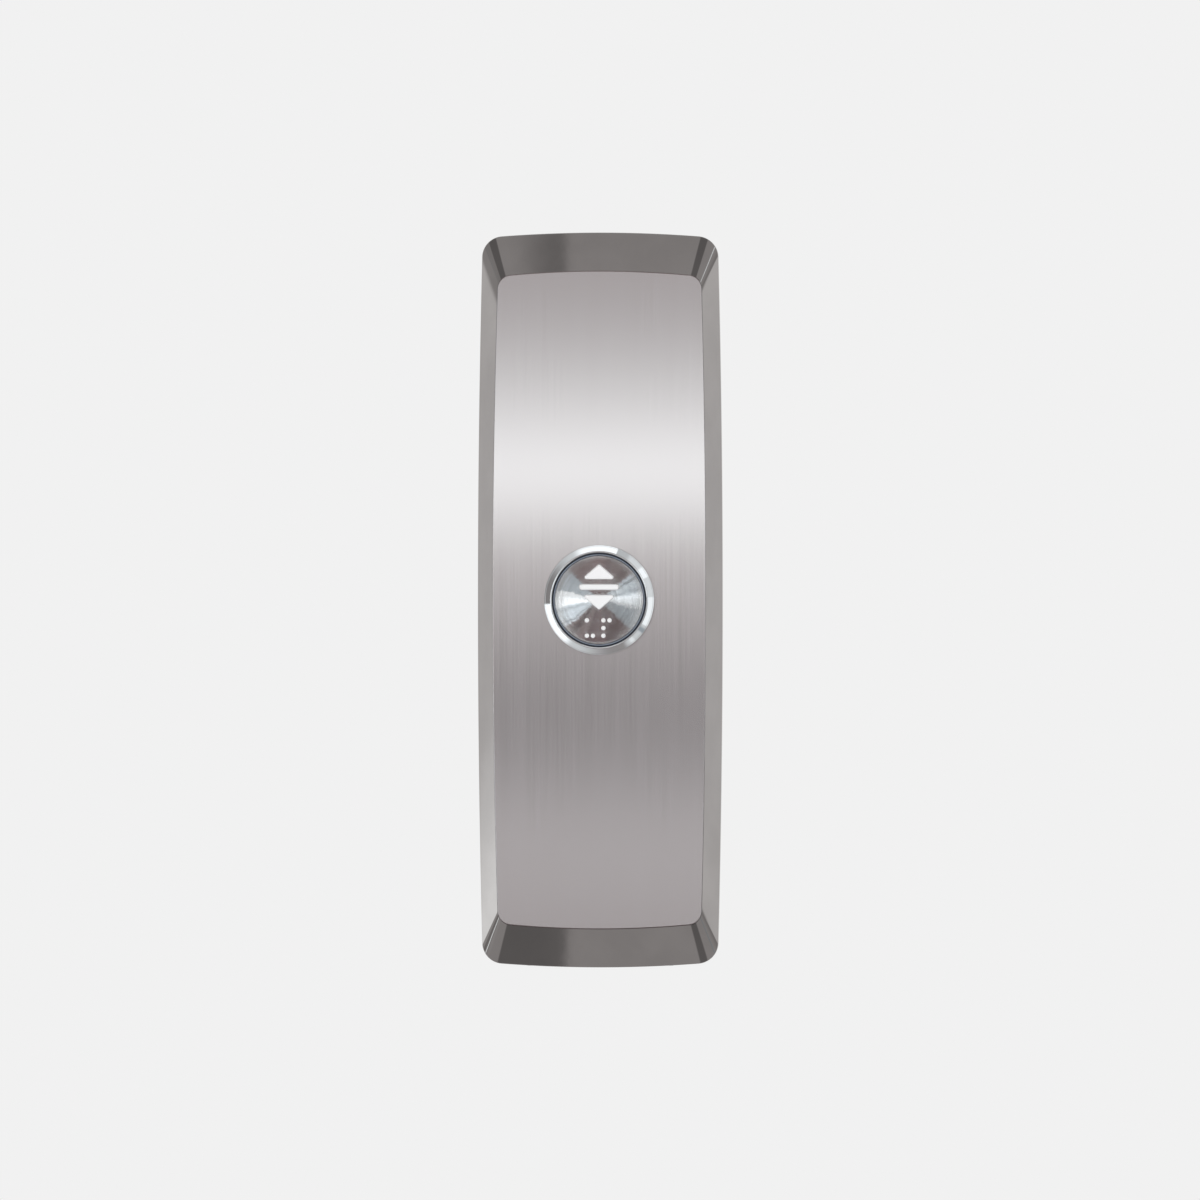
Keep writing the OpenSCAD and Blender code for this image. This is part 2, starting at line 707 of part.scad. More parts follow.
// Controller, bus transceiver and regulator
module board_chips() color("black") {
    at_board(chip_place) chip(10, 10, 1.5);
    at_board(transceiver_place) chip(5, 4, 1.5);
    at_board(regulator_place) chip(6.5, 6, 2.2);
}

module chip(w, d, h) difference() {
    translate([0, 0, 0.15]) block(w, d, h);
    translate([1 - w / 2, d / 2 - 1, h]) cylinder(r = 0.4, h = cut);
}

module chip_leads() color("gainsboro") {
    at_board(chip_place) for (a = [0, 90, 180, 270]) rotate(a) lead_row(11, 0.8, 0.4, 5);
    at_board(transceiver_place) for (a = [0, 180]) rotate(a) lead_row(4, 1.27, 0.45, 2);
    at_board(regulator_place) lead_row(3, 2.2, 0.9, 3);
}

// A row of gull-wing leads along a chip's edge at y = -half
module lead_row(count, pitch, w, half) for (i = [0:count - 1])
    translate([(i - (count - 1) / 2) * pitch - w / 2, -half - 1.2, 0]) {
        cube([w, 0.7, 0.15]);
        translate([0, 0.55, 0]) cube([w, 0.15, 0.8]);
        translate([0, 0.55, 0.65]) cube([w, 0.65, 0.15]);
    }

module board_capacitors() color("gray") for (place = capacitor_places) at_board(place) {
    block(can_foot, can_foot, can_foot_h);
    cylinder(r = can_r, h = can_h);
}

// Resistors in two rows and a column, and the crystal
module small_components() color("tan") {
    for (row = part_rows) for (i = [0:row.z - 1])
        at_board([row.x + i * part_pitch, row.y]) block(part_w, part_l, part_h);
    for (i = [0:3]) at_board(part_column - [0, i * part_pitch]) block(part_l, part_w, part_h);
    at_board(crystal_place) block(crystal_w, crystal_l, crystal_h);
}

module buzzer() color("black") at_board(buzzer_place) difference() {
    cylinder(r = buzzer_d / 2, h = buzzer_h);
    translate([0, 0, 2]) cylinder(r = 1.1, h = buzzer_h);
}

// Rotary switch that sets the floor address, and the dial that turns in it
module address_switch() color("black") at_board(dial_place) difference() {
    block(dial_case, dial_case, dial_case_h);
    translate([0, 0, dial_floor]) cylinder(r = dial_d / 2 + fit_gap, h = dial_case_h);
}

module address_rotor() color("white") at_board(dial_place, board_z1 + dial_floor + fit_gap) difference() {
    cylinder(r = dial_d / 2, h = dial_h);
    translate([0, 0, dial_h - 0.8]) block(0.75 * dial_d, 0.9, cut);
    translate([0.35 * dial_d, 0, dial_h - 0.8]) cylinder(r = 0.7, h = cut);
}

module field_socket() color("seagreen") at_board(field_place) difference() {
    block(field_w + 2 * field_wall, field_d, field_h);
    translate([-field_w / 2 - plug_gap, field_back - field_d / 2, field_wall])
        cube([field_w + 2 * plug_gap, field_d, field_h - 2 * field_wall + plug_gap]);
}

module at_field_plug() at_board([field_place.x, field_plug_y], board_z1 + field_wall + fit_gap) children();
module at_field_ways() for (i = [0:field_ways - 1])
    translate([(i - (field_ways - 1) / 2) * field_pitch, 0, 0]) children();

module field_plug() color("seagreen") at_field_plug() difference() {
    translate([-field_w / 2, 0, 0]) {
        cube([field_w, field_nose, field_h - 2 * field_wall]);
        translate([0, field_nose, 0]) cube([field_w, field_tail, field_h - field_wall]);
    }
    at_field_ways() {
        translate([-1.3, field_nose + 1, 1.2]) cube([2.6, field_tail, 2.6]);
        translate([0, field_screw_y, field_screw_z]) cylinder(r = field_screw_r + 0.1, h = field_h);
    }
}

module terminal_screws() color("silver") at_field_plug() at_field_ways()
    translate([0, field_screw_y, field_screw_z + fit_gap]) difference() {
        cylinder(r = field_screw_r, h = 2.4);
        translate([0, 0, 1.6]) block(3, 0.5, cut);
    }

// Places of the two headers: on the landing board, and hanging under the button's board
module at_board_header() at_board(header_place) children();
module at_button_header() translate([0, button_header_y, switch_board_z0]) rotate([180, 0, 0]) children();
module at_ways() for (i = [0:ways - 1]) translate([(i - (ways - 1) / 2) * pin_pitch, 0, 0]) children();

// Four-way shrouded header: it stands on z = 0 with its mouth towards +y
module header_body() difference() {
    translate([-header_w / 2, 0, 0]) cube([header_w, header_d, header_h]);
    translate([header_wall - header_w / 2, header_back, header_wall])
        cube([header_w - 2 * header_wall, header_d, header_h - 2 * header_wall]);
    at_ways() translate([0, header_back / 2, header_h / 2 - pin_side / 2 - fit_gap])
        block(pin_side + 2 * fit_gap, header_back + cut, pin_side + 2 * fit_gap);
    translate([-header_w / 2, header_d, header_h / 2 - 0.6]) block(4 * header_wall, 6, 1.2);
}

module board_header() color("ivory") at_board_header() header_body();
module button_header() color("ivory") at_button_header() header_body();

// Bent pins of one header: along the plug's axis, then down through the board
module bent_pins() at_ways() translate([-pin_side / 2, -pin_bend - pin_side / 2, 0]) {
    translate([0, 0, header_h / 2 - pin_side / 2]) cube([pin_side, pin_bend + plug_in, pin_side]);
    translate([0, 0, -board_t - 0.8]) cube([pin_side, pin_side, board_t + 0.8 + header_h / 2 + pin_side / 2]);
}

module pin_holes() at_ways() translate([0, -pin_bend, -board_t - cut])
    cylinder(r = 0.5, h = board_t + 2 * cut);

module header_pins() color("gold") {
    at_board_header() bent_pins();
    at_button_header() bent_pins();
}

// Plug of the harness: its nose is at y = 0 and the wires leave at y = plug_d
module wire_plug() difference() {
    translate([-plug_w / 2, 0, -plug_h / 2]) cube([plug_w, plug_d, plug_h]);
    at_ways() {
        translate([0, header_d / 4, -pin_side / 2 - fit_gap])
            block(pin_side + 2 * fit_gap, header_d, pin_side + 2 * fit_gap);
        translate([0, plug_d - wire_in - fit_gap, 0]) rotate([-90, 0, 0])
            cylinder(r = wire_d / 2 + fit_gap, h = wire_in + cut);
    }
}

module harness_plugs() color("ivory") {
    at_board_header() translate([0, plug_tail - plug_d, header_h / 2]) wire_plug();
    at_button_header() translate([0, plug_tail - plug_d, header_h / 2]) wire_plug();
}

// Four wires from the button's plug down to the landing board's plug
module harness_wires() {
    handle = [0, wire_bow, 0];
    from = [0, button_header_y - plug_tail, switch_board_z0 - header_h / 2];
    to = [header_place.x, header_place.y - board_y + plug_tail, board_z1 + header_h / 2];
    colours = ["red", "black", "yellow", "white"];
    for (i = [0:ways - 1]) color(colours[i])
        translate([(i - (ways - 1) / 2) * pin_pitch, 0, 0])
            swept_tube(concat([from + [0, wire_in, 0]],
                bezier(from, from - handle, to + handle, to, 12),
                [to - [0, wire_in, 0]]), wire_d);
}

module earth_studs() color("goldenrod") {
    at_tray_earth() translate([0, 0, fit_gap - tray_t]) cylinder(r = stud_r, h = tray_t + stud_h);
    at_cover_earth() translate([0, 0, -stud_root]) cylinder(r = stud_r, h = stud_root + stud_h);
}

module earth_nuts() color("goldenrod") {
    at_tray_earth() earth_nut();
    at_cover_earth() earth_nut();
}

module earth_nut() translate([0, 0, lug_t]) difference() {
    cylinder(r = earth_nut_af / sqrt(3), h = earth_nut_h, $fn = 6);
    translate([0, 0, -cut]) cylinder(r = stud_r + fit_gap, h = earth_nut_h + 2 * cut);
}

module earth_lugs() color("silver") {
    at_tray_earth() ring_lug();
    at_cover_earth() ring_lug();
}

// Ring lug with a crimped barrel along +y
module ring_lug() {
    difference() {
        union() {
            cylinder(r = lug_r, h = lug_t);
            translate([0, lug_reach / 2 + 0.5, 0]) block(earth_d, lug_reach, lug_t);
        }
        translate([0, 0, -cut]) cylinder(r = stud_r + 2 * fit_gap, h = lug_t + 2 * cut);
    }
    translate([0, lug_reach, crimp_z()]) rotate([-90, 0, 0])
        tube(earth_d / 2 + crimp_wall, earth_d / 2 + fit_gap, 0, crimp_len);
}

function crimp_z() = earth_d / 2 + crimp_wall;

module earth_lead() color("yellowgreen") {
    handle = [0, earth_bow, 0];
    inside = [0, crimp_len - 1, 0];
    from = [earth_x, tray_earth_y + lug_reach + crimp_len, tray_t + crimp_z()];
    to = [earth_x, cover_earth_y - lug_reach - crimp_len, earth_boss_z - crimp_z()];
    bend = bezier(from, from + handle, to - handle, to, 12);
    swept_tube(concat([from - inside], bend, [to + inside]), earth_d);
}

// Chrome trim ring, snapped over the barrel's flange
module bezel_ring() color("white") rotate_extrude() polygon([
    [bezel_in_r, halo_z1 + fit_gap],
    [halo_flange_r + 2 * fit_gap, halo_z1 + fit_gap],
    [halo_flange_r + 2 * fit_gap, halo_seat_z + fit_gap],
    [flange_r + fit_gap, halo_seat_z + fit_gap],
    [flange_r + fit_gap, bezel_foot_z],
    [bezel_r, bezel_foot_z],
    [bezel_r, panel_depth + bezel_edge],
    [bezel_in_r + 0.4, panel_depth + bezel_rise - 0.05],
    [bezel_in_r + 0.2, panel_depth + bezel_rise],
    [bezel_in_r, panel_depth + bezel_rise - 0.1]]);

// Rubber gasket between the face plate and the barrel's flange
module bezel_gasket() color("black") tube(flange_r, plate_hole_r, panel_depth + fit_gap, flange_z - fit_gap);

module halo_ring() color("midnightblue") rotate_extrude() polygon([
    [halo_in_r, halo_z0],
    [halo_r, halo_z0],
    [halo_r, halo_seat_z],
    [halo_flange_r, halo_seat_z],
    [halo_flange_r, halo_z1],
    [halo_in_r, halo_z1]]);

module at_cap_screws() for (a = [90, 210, 330]) rotate(a) translate([cap_screw_at, 0, 0]) children();

// Moulded barrel: front flange, spring shelf with a stop collar, two guide ribs and three screw posts
module button_barrel() color("darkslategray") difference() {
    union() {
        rotate_extrude() polygon([
            [barrel_in_r, rear_cap_z1],
            [barrel_r, rear_cap_z1],
            [barrel_r, flange_z],
            [flange_r, flange_z],
            [flange_r, halo_seat_z],
            [barrel_in_r, halo_seat_z],
            [barrel_in_r, shelf_z1],
            [guide_r, shelf_z1],
            [guide_r, stop_z],
            [guide_in_r, stop_z],
            [guide_in_r, shelf_z0],
            [barrel_in_r, shelf_z0]]);
        for (side = [0, 1]) mirror([0, side, 0]) translate([-rib_w / 2, barrel_in_r - rib_h, shelf_z1])
            cube([rib_w, rib_h + barrel_wall / 2, halo_z0 - fit_gap - shelf_z1]);
        at_cap_screws() translate([0, 0, rear_cap_z1 + fit_gap]) intersection() {
            cylinder(r = cap_post_r, h = shelf_z0 - rear_cap_z1);
            translate([-cap_screw_at, 0, 0]) cylinder(r = barrel_in_r + barrel_wall / 2, h = shelf_z0);
        }
        translate([-key_w / 2, -barrel_r - key_h, panel_depth - plate_t])
            cube([key_w, key_h + barrel_wall / 2, plate_t]);
    }
    translate([-header_w / 2 - 0.5, -2 * barrel_r, rear_cap_z1 - cut])
        cube([header_w + 1, 1.5 * barrel_r, switch_board_z0 - rear_cap_z1 + cut]);
    at_cap_screws() translate([0, 0, rear_cap_z1 - cut])
        cylinder(r = cap_screw_r + fit_gap, h = cap_screw_depth + cut + 0.3);
}

module ring_nut() color("gray") difference() {
    tube(nut_r, barrel_r + fit_gap, nut_z1 - nut_t, nut_z1);
    for (a = [0:60:300]) rotate(a) translate([nut_r, 0, nut_z1 - nut_t - cut])
        block(2.4, 5, nut_t / 2 + cut);
}

module nut_washer() color("silver") tube(nut_r - 0.5, barrel_r + 2 * fit_gap, nut_z1, washer_z1);

// Arrow with its base on y = 0, grown outwards by g
function arrow(g) = let (slant = norm([arrow_w / 2, arrow_h]),
        half = arrow_w / 2 + g * (slant + arrow_w / 2) / arrow_h)
    rounded_polygon([[-half, -g], [half, -g], [0, arrow_h + 2 * g * slant / arrow_w]], arrow_r + g);

// Up arrow, bar and down arrow, grown outwards by g
module symbols(g) translate([0, symbol_y]) {
    for (side = [0, 1]) mirror([0, side]) translate([0, arrow_gap]) polygon(arrow(g));
    polygon(rounded_rectangle(bar_w + 2 * g, bar_h + 2 * g, bar_r + g));
}

// Dots of the two braille letters of the word up, as column and row from the top left
braille = [[[0, 0], [0, 2], [1, 2]], [[0, 0], [1, 0], [0, 1], [0, 2]]];

module at_dots() for (cell = [0, 1]) for (dot = braille[cell])
    translate([braille_x + (cell - 0.5) * cell_pitch + (dot.x - 0.5) * dot_pitch_x,
        -dot_row_y - dot.y * dot_pitch_y, 0]) children();

// Spun metal cap with the symbols cut through it
module button_cap() color("lightgray") difference() {
    rotate_extrude() polygon([
        [0, cap_z0],
        [cap_r - cap_wall, cap_z0],
        [cap_r - cap_wall, skirt_z0],
        [cap_r, skirt_z0],
        [cap_r, cap_z1 - cap_chamfer],
        [cap_r - cap_chamfer, cap_z1],
        [0, cap_z1]]);
    translate([0, 0, cap_z0 - cut]) linear_extrude(cap_t + 2 * cut) symbols(fit_gap);
    at_dots() translate([0, 0, cap_z0 - cut]) cylinder(r = dot_d / 3 + fit_gap, h = cap_t + 2 * cut);
}

module symbol_lens() color("white") {
    translate([0, 0, lens_z0]) cylinder(r = seat_r, h = lens_t);
    translate([0, 0, lens_z0]) linear_extrude(cap_z1 + symbol_rise - lens_z0) symbols(0);
}

// Domed pins pressed into the cap
module braille_pins() color("silver") at_dots() {
    dome_r = (dot_d * dot_d / 4 + dot_h * dot_h) / (2 * dot_h);
    translate([0, 0, cap_z0]) cylinder(r = dot_d / 3, h = cap_t);
    intersection() {
        translate([0, 0, cap_z1 + dot_h - dome_r]) sphere(r = dome_r);
        translate([0, 0, cap_z1]) cylinder(r = dot_d, h = dot_h + cut);
    }
}

// Plunger behind the cap: guide sleeve, stop flange with two notches, and a bridge with the post
module button_plunger() color("gainsboro") difference() {
    union() {
        rotate_extrude() polygon([
            [guide_in_r, plunger_z0 - plunger_guide_h],
            [guide_r, plunger_z0 - plunger_guide_h],
            [guide_r, plunger_z0],
            [stop_r, plunger_z0],
            [stop_r, plunger_z1],
            [seat_r, plunger_z1],
            [seat_r, lens_z0 - fit_gap],
            [guide_in_r, lens_z0 - fit_gap]]);
        translate([0, 0, plunger_z0]) block(2 * guide_r, bridge_w, bridge_t);
        translate([hinge_x + lever_arm, 0, post_z]) {
            sphere(r = post_r);
            cylinder(r = post_r, h = plunger_z0 + bridge_t / 2 - post_z);
        }
    }
    for (side = [0, 1]) mirror([0, side, 0])
        translate([-rib_w / 2 - run_gap, barrel_in_r - rib_h - run_gap, plunger_z0 - cut])
            cube([rib_w + 2 * run_gap, 2 * rib_h, plunger_flange_t + 2 * cut]);
}

// Height along the spring after some turns: the end turns lie closed, the others share the rest
function spring_z(turn) = let (closed = 1.04 * spring_wire,
        rise = spring_len - spring_wire - 2 * fit_gap - 2 * closed)
    closed * (min(turn, 1) + max(turn - spring_turns + 1, 0))
        + rise * min(max(turn - 1, 0), spring_turns - 2) / (spring_turns - 2);

module return_spring() color("silver") translate([0, 0, shelf_z1 + fit_gap + spring_wire / 2])
    swept_tube([for (i = [0:20 * spring_turns]) let (a = 18 * i)
        [spring_r * cos(a), spring_r * sin(a), spring_z(i / 20)]], spring_wire, 6);

// Round board clamped behind the shelf, notched round the screw posts
module button_board() color("darkgreen") difference() {
    translate([0, 0, switch_board_z0]) cylinder(r = barrel_in_r - run_gap, h = board_t);
    at_cap_screws() translate([0, 0, switch_board_z0 - cut])
        cylinder(r = cap_post_r + run_gap, h = board_t + 2 * cut);
    at_button_header() pin_holes();
    at_switch_pins() translate([0, 0, switch_board_z0 - cut]) cylinder(r = 0.6, h = board_t + 2 * cut);
}

module at_switch_pins() for (i = [-1:1]) translate([i * terminal_pitch, 0, 0]) children();

module button_leds() color("white") for (x = [0, 1], y = [0, 1]) mirror([x, 0, 0]) mirror([0, y, 0])
    translate(concat((guide_in_r - led_w) * [cos(led_angle), sin(led_angle)], [shelf_z0])) {
        block(led_w, led_w, 1);
        cylinder(r = 1.1, h = 1.3);
    }

// Case of the micro-switch, with the two ears and the pin that its lever turns on
module switch_case() color("black") difference() {
    union() {
        translate([0, 0, shelf_z0]) block(switch_l, switch_w, switch_h);
        for (side = [-1, 1]) translate([hinge_x, side * (lever_w / 2 + fit_gap + hinge_ear_t / 2), shelf_z0])
            block(1.4, hinge_ear_t, hinge_z + 2 * hinge_r - shelf_z0);
        translate([hinge_x, 0, hinge_z]) rotate([90, 0, 0])
            cylinder(r = hinge_r, h = lever_w + hinge_ear_t, center = true);
    }
    translate([hinge_x + pin_arm, 0, pin_z - pin_h - pin_travel - 0.3])
        cylinder(r = pin_r + fit_gap, h = switch_h);
}

module switch_pins() color("gold") at_switch_pins() translate([0, 0, switch_board_z0 - 1.5])
    block(0.5, 0.8, board_t + 1.5);

module switch_lever() color("silver") translate([hinge_x, 0, hinge_z]) rotate([0, -lever_turn, 0])
    difference() {
        union() {
            rotate([90, 0, 0]) cylinder(r = hinge_barrel_r, h = lever_w, center = true);
            translate([0, -lever_w / 2, -lever_t / 2]) cube([lever_arm + lever_tip, lever_w, lever_t]);
        }
        rotate([90, 0, 0]) cylinder(r = hinge_r + fit_gap, h = lever_w + cut, center = true);
    }

module switch_plunger() color("firebrick") translate([hinge_x + pin_arm, 0, pin_z]) {
    sphere(r = pin_r);
    translate([0, 0, -pin_h]) cylinder(r = pin_r, h = pin_h);
}

// Rear cap, with two pegs that bear on the board
module rear_cap() color("darkslategray") difference() {
    union() {
        translate([0, 0, rear_cap_z0]) cylinder(r = barrel_r, h = rear_cap_z1 - rear_cap_z0);
        for (a = [30, 150]) rotate(a) translate([cap_screw_at, 0, rear_cap_z0])
            cylinder(r = 1.3, h = switch_board_z0 - rear_cap_z0);
    }
    at_cap_screws() translate([0, 0, rear_cap_z0 - cut]) cylinder(r = cap_screw_r + 2 * fit_gap, h = 4 * cut);
}

module rear_cap_screws() color("silver") at_cap_screws()
    translate([0, 0, rear_cap_z0 - cap_screw_head_h]) difference() {
        union() {
            cylinder(r = cap_screw_head_r, h = cap_screw_head_h);
            cylinder(r = cap_screw_r, h = cap_screw_head_h + rear_cap_z1 - rear_cap_z0 + cap_screw_depth);
        }
        for (a = [0, 90]) rotate(a) translate([0, 0, -cut]) block(2.4, 0.5, cut + 0.5);
    }

stand() bevel_frame();
stand() face_plate();
stand() bonding_tape();
stand() base_tray();
stand() window_liner();
stand() clinch_nuts();
stand() cover_screws();
stand() board_standoffs();
stand() main_board();
stand() board_screws();
stand() board_chips();
stand() chip_leads();
stand() board_capacitors();
stand() small_components();
stand() buzzer();
stand() address_switch();
stand() address_rotor();
stand() field_socket();
stand() field_plug();
stand() terminal_screws();
stand() board_header();
stand() header_pins();
stand() harness_plugs();
stand() harness_wires();
stand() earth_studs();
stand() earth_nuts();
stand() earth_lugs();
stand() earth_lead();
stand() bezel_ring();
stand() bezel_gasket();
stand() halo_ring();
stand() button_barrel();
stand() ring_nut();
stand() nut_washer();
stand() button_cap();
stand() symbol_lens();
stand() braille_pins();
stand() button_plunger();
stand() return_spring();
stand() button_board();
stand() button_leds();
stand() switch_case();
stand() switch_pins();
stand() switch_lever();
stand() switch_plunger();
stand() button_header();
stand() rear_cap();
stand() rear_cap_screws();
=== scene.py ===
"""Looks of a surface-mounted lift landing panel, built over its packed construction model.

Lengths are metres. The panel hangs on a wall at y = 0, faces -y and stands along z.
Shapes are drawn lying on their back, as (across, up, out), and upright() stands them up.
"""

import math

import bmesh
import bpy
import numpy as np
from bpy.props import FloatProperty, FloatVectorProperty, IntProperty, PointerProperty
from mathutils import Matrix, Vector
from mathutils.geometry import delaunay_2d_cdt


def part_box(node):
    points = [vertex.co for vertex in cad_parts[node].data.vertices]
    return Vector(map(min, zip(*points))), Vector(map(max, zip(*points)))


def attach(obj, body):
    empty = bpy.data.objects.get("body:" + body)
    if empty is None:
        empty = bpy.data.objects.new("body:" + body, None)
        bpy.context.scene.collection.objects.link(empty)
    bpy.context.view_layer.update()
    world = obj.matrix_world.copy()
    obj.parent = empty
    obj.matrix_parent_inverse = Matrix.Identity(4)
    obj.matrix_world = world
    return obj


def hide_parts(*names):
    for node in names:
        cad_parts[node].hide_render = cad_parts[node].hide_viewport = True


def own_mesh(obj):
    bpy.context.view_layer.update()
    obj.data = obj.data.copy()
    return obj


bl_info = {
    "name": "Lift landing panel",
    "version": (1, 0, 0),
    "blender": (4, 5, 0),
    "location": "3D View > Sidebar > Landing panel",
    "description": "Dresses the construction model of a lift landing panel with smooth metal pieces",
    "category": "Mesh",
}

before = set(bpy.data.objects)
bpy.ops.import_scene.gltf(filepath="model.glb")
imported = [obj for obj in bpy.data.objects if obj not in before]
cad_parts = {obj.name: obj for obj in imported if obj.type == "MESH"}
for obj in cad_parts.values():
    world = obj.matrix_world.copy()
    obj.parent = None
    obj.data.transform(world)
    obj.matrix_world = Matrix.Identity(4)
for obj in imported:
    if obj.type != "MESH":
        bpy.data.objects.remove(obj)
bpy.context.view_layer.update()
LOW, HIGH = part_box("bevel_frame")
MM = 0.001
CREST = Vector((0.0, -0.024, 0.0))


def length(name, description, default):
    """Property for a length in metres."""
    return FloatProperty(name=name, description=description, default=default, min=0.0, precision=5,
                         subtype="DISTANCE", unit="LENGTH")


def tint(name, description, default):
    """Property for a colour."""
    return FloatVectorProperty(name=name, description=description, default=default, size=3,
                               min=0.0, max=1.0, subtype="COLOR")


def share(name, description, default):
    """Property for a value from 0 to 1."""
    return FloatProperty(name=name, description=description, default=default, min=0.0, max=1.0,
                         subtype="FACTOR")


class CoverSizes(bpy.types.PropertyGroup):
    """Sizes of the cover frame and its face sheet"""

    width: length("Width", "Width of the cover across its middle", HIGH.x - LOW.x)
    height: length("Height", "Height of the cover along its middle", HIGH.z - LOW.z)
    crest: length("Crest", "Height of the face's crest above the wall", 24 * MM)
    side_bow: length("Side bow", "How far the long edges bulge beyond the corners", 1.7 * MM)
    end_bow: length("End bow", "How far the short edges bulge beyond the corners", 2 * MM)
    corner: length("Corner radius", "Radius of the cover's outer corners", 7.3 * MM)
    face_corner: length("Face corner", "Radius of the face's corners", 4.8 * MM)
    skirt: length("Side wall", "Height of the straight side wall above the wall plane", 9 * MM)
    side_bevel: length("Side bevel", "Width of the bevel along the long sides", 5.5 * MM)
    end_bevel: length("End bevel", "Width of the bevel along the short ends", 13.4 * MM)
    arch: length("Arch", "How far the ends of the face lie back from its crest", 8 * MM)
    sheet: length("Sheet", "Thickness of the brushed sheet", 1.5 * MM)
    seat: length("Seat", "Depth of the sheet's seat below the face", 2 * MM)
    ledge: length("Ledge", "Width of the ledge that carries the sheet", 3.4 * MM)
    ledge_depth: length("Ledge depth", "Thickness of that ledge", 1.6 * MM)
    wall: length("Wall", "Wall thickness of the cover frame", 1.8 * MM)
    lift: length("Rim lift", "Gap between the cover's rim and the wall", 0.3 * MM)
    gap: length("Sheet gap", "Gap between the sheet's edge and the frame", 0.1 * MM)
    hole: length("Button hole", "Radius of the sheet's hole", 17.7 * MM)
    screw_x: length("Screw place", "Sideways place of the cover screws", 22.2 * MM)
    screw_z: length("Screw height", "Height of the cover screws above the wall", 4.9 * MM)


class ButtonSizes(bpy.types.PropertyGroup):
    """Sizes of the round push button"""

    cap: length("Cap radius", "Radius of the cap", 15.25 * MM)
    cap_top: length("Cap height", "Height of the cap's face above the wall", 26 * MM)
    cap_thick: length("Cap face", "Thickness of the cap's face", 1 * MM)
    skirt: length("Cap depth", "Depth of the cap to the end of its skirt", 2.8 * MM)
    cap_wall: length("Skirt wall", "Wall of the cap's skirt", 0.8 * MM)
    chamfer: length("Chamfer", "Chamfer round the cap's face", 0.2 * MM)
    halo_in: length("Ring bore", "Inner radius of the dark ring", 15.4 * MM)
    halo_out: length("Ring radius", "Outer radius of the dark ring", 16.1 * MM)
    bezel: length("Bezel radius", "Outer radius of the chrome bezel", 19 * MM)
    bezel_in: length("Bezel bore", "Inner radius of the chrome bezel", 16.35 * MM)
    bezel_top: length("Bezel height", "Height of the bezel's inner edge", 26.45 * MM)
    bezel_edge: length("Bezel edge", "Height of the bezel's outer edge", 24.9 * MM)
    symbol_rise: length("Symbol rise", "How far the symbols stand above the cap", 0.5 * MM)
    symbol_y: length("Symbol place", "Height of the symbols' middle above the button's centre", 4.45 * MM)
    arrow_w: length("Arrow width", "Width of an arrow before its corners are rounded", 11.4 * MM)
    arrow_h: length("Arrow height", "Height of an arrow before its corners are rounded", 4.85 * MM)
    arrow_gap: length("Arrow gap", "Distance from the bar's middle to each arrow", 2.85 * MM)
    bar_w: length("Bar length", "Length of the bar", 13.3 * MM)
    bar_h: length("Bar height", "Height of the bar", 1.65 * MM)
    dot: length("Dot", "Diameter of a braille dot", 1.5 * MM)
    dot_h: length("Dot height", "Height of a braille dot", 0.5 * MM)
    dot_x: length("Dot columns", "Distance between the columns of a cell", 2.1 * MM)
    dot_y: length("Dot rows", "Distance between the rows of a cell", 2.65 * MM)
    cell: length("Cells", "Distance between the two cells", 5.7 * MM)
    row: length("Top row", "Depth of the top row below the button's centre", 7 * MM)
    turns: FloatProperty(name="Spring turns", description="Number of turns of the return spring",
                         default=5.0, min=2.0)
    spring_r: length("Spring radius", "Mean radius of the return spring", 14.55 * MM)
    spring_len: length("Spring length", "Length of the spring between its seats", 7.5 * MM)
    wire: length("Spring wire", "Wire diameter of the return spring", 0.7 * MM)


class Finishes(bpy.types.PropertyGroup):
    """Colours and roughness of the visible metals"""

    steel: tint("Brushed steel", "Colour of the brushed face", (0.745, 0.697, 0.697))
    steel_rough: share("Brushed roughness", "Roughness of the brushed face", 0.2)
    polish: tint("Polished frame", "Colour of the polished cover frame", (0.44, 0.43, 0.425))
    polish_rough: share("Frame roughness", "Roughness of the polished frame", 0.045)
    spun: tint("Spun cap", "Colour of the spun cap", (0.74, 0.74, 0.745))
    spun_rough: share("Cap roughness", "Roughness of the spun cap", 0.14)
    chrome: tint("Chrome", "Colour of the chrome bezel", (0.86, 0.87, 0.885))
    halo: tint("Dark ring", "Colour of the dark ring round the cap", (0.012, 0.016, 0.026))
    symbols: tint("Symbols", "Colour of the arrows and the bar", (0.92, 0.92, 0.92))


class StageSizes(bpy.types.PropertyGroup):
    """Camera, floor and light"""

    distance: length("Camera distance", "Distance of the camera from the button", 10.0)
    view_width: length("View width", "Width that the camera sees at the button", 0.41336)
    azimuth: FloatProperty(name="Camera azimuth", description="How far the camera stands to the right",
                           default=math.radians(1.3), subtype="ANGLE", unit="ROTATION")
    aim_x: FloatProperty(name="Aim", description="Sideways place that the camera looks at",
                         default=0.28 * MM, precision=5, subtype="DISTANCE", unit="LENGTH")
    floor_z: FloatProperty(name="Floor height", description="Height of the floor below the button",
                           default=-0.6, subtype="DISTANCE", unit="LENGTH")
    backdrop: share("Backdrop", "How light the backdrop looks to the camera", 0.88)


# Surfaces


def upright(points):
    """Stands a drawing up: (across, up, out) becomes (across, -out, up)."""
    points = np.asarray(points, float)
    return np.stack([points[..., 0], -points[..., 2], points[..., 1]], -1)


def arc_radius(half_chord, bow):
    """Radius of a shallow arc: (half chord squared + bow squared) over twice the bow."""
    return (half_chord ** 2 + bow ** 2) / (2 * bow)


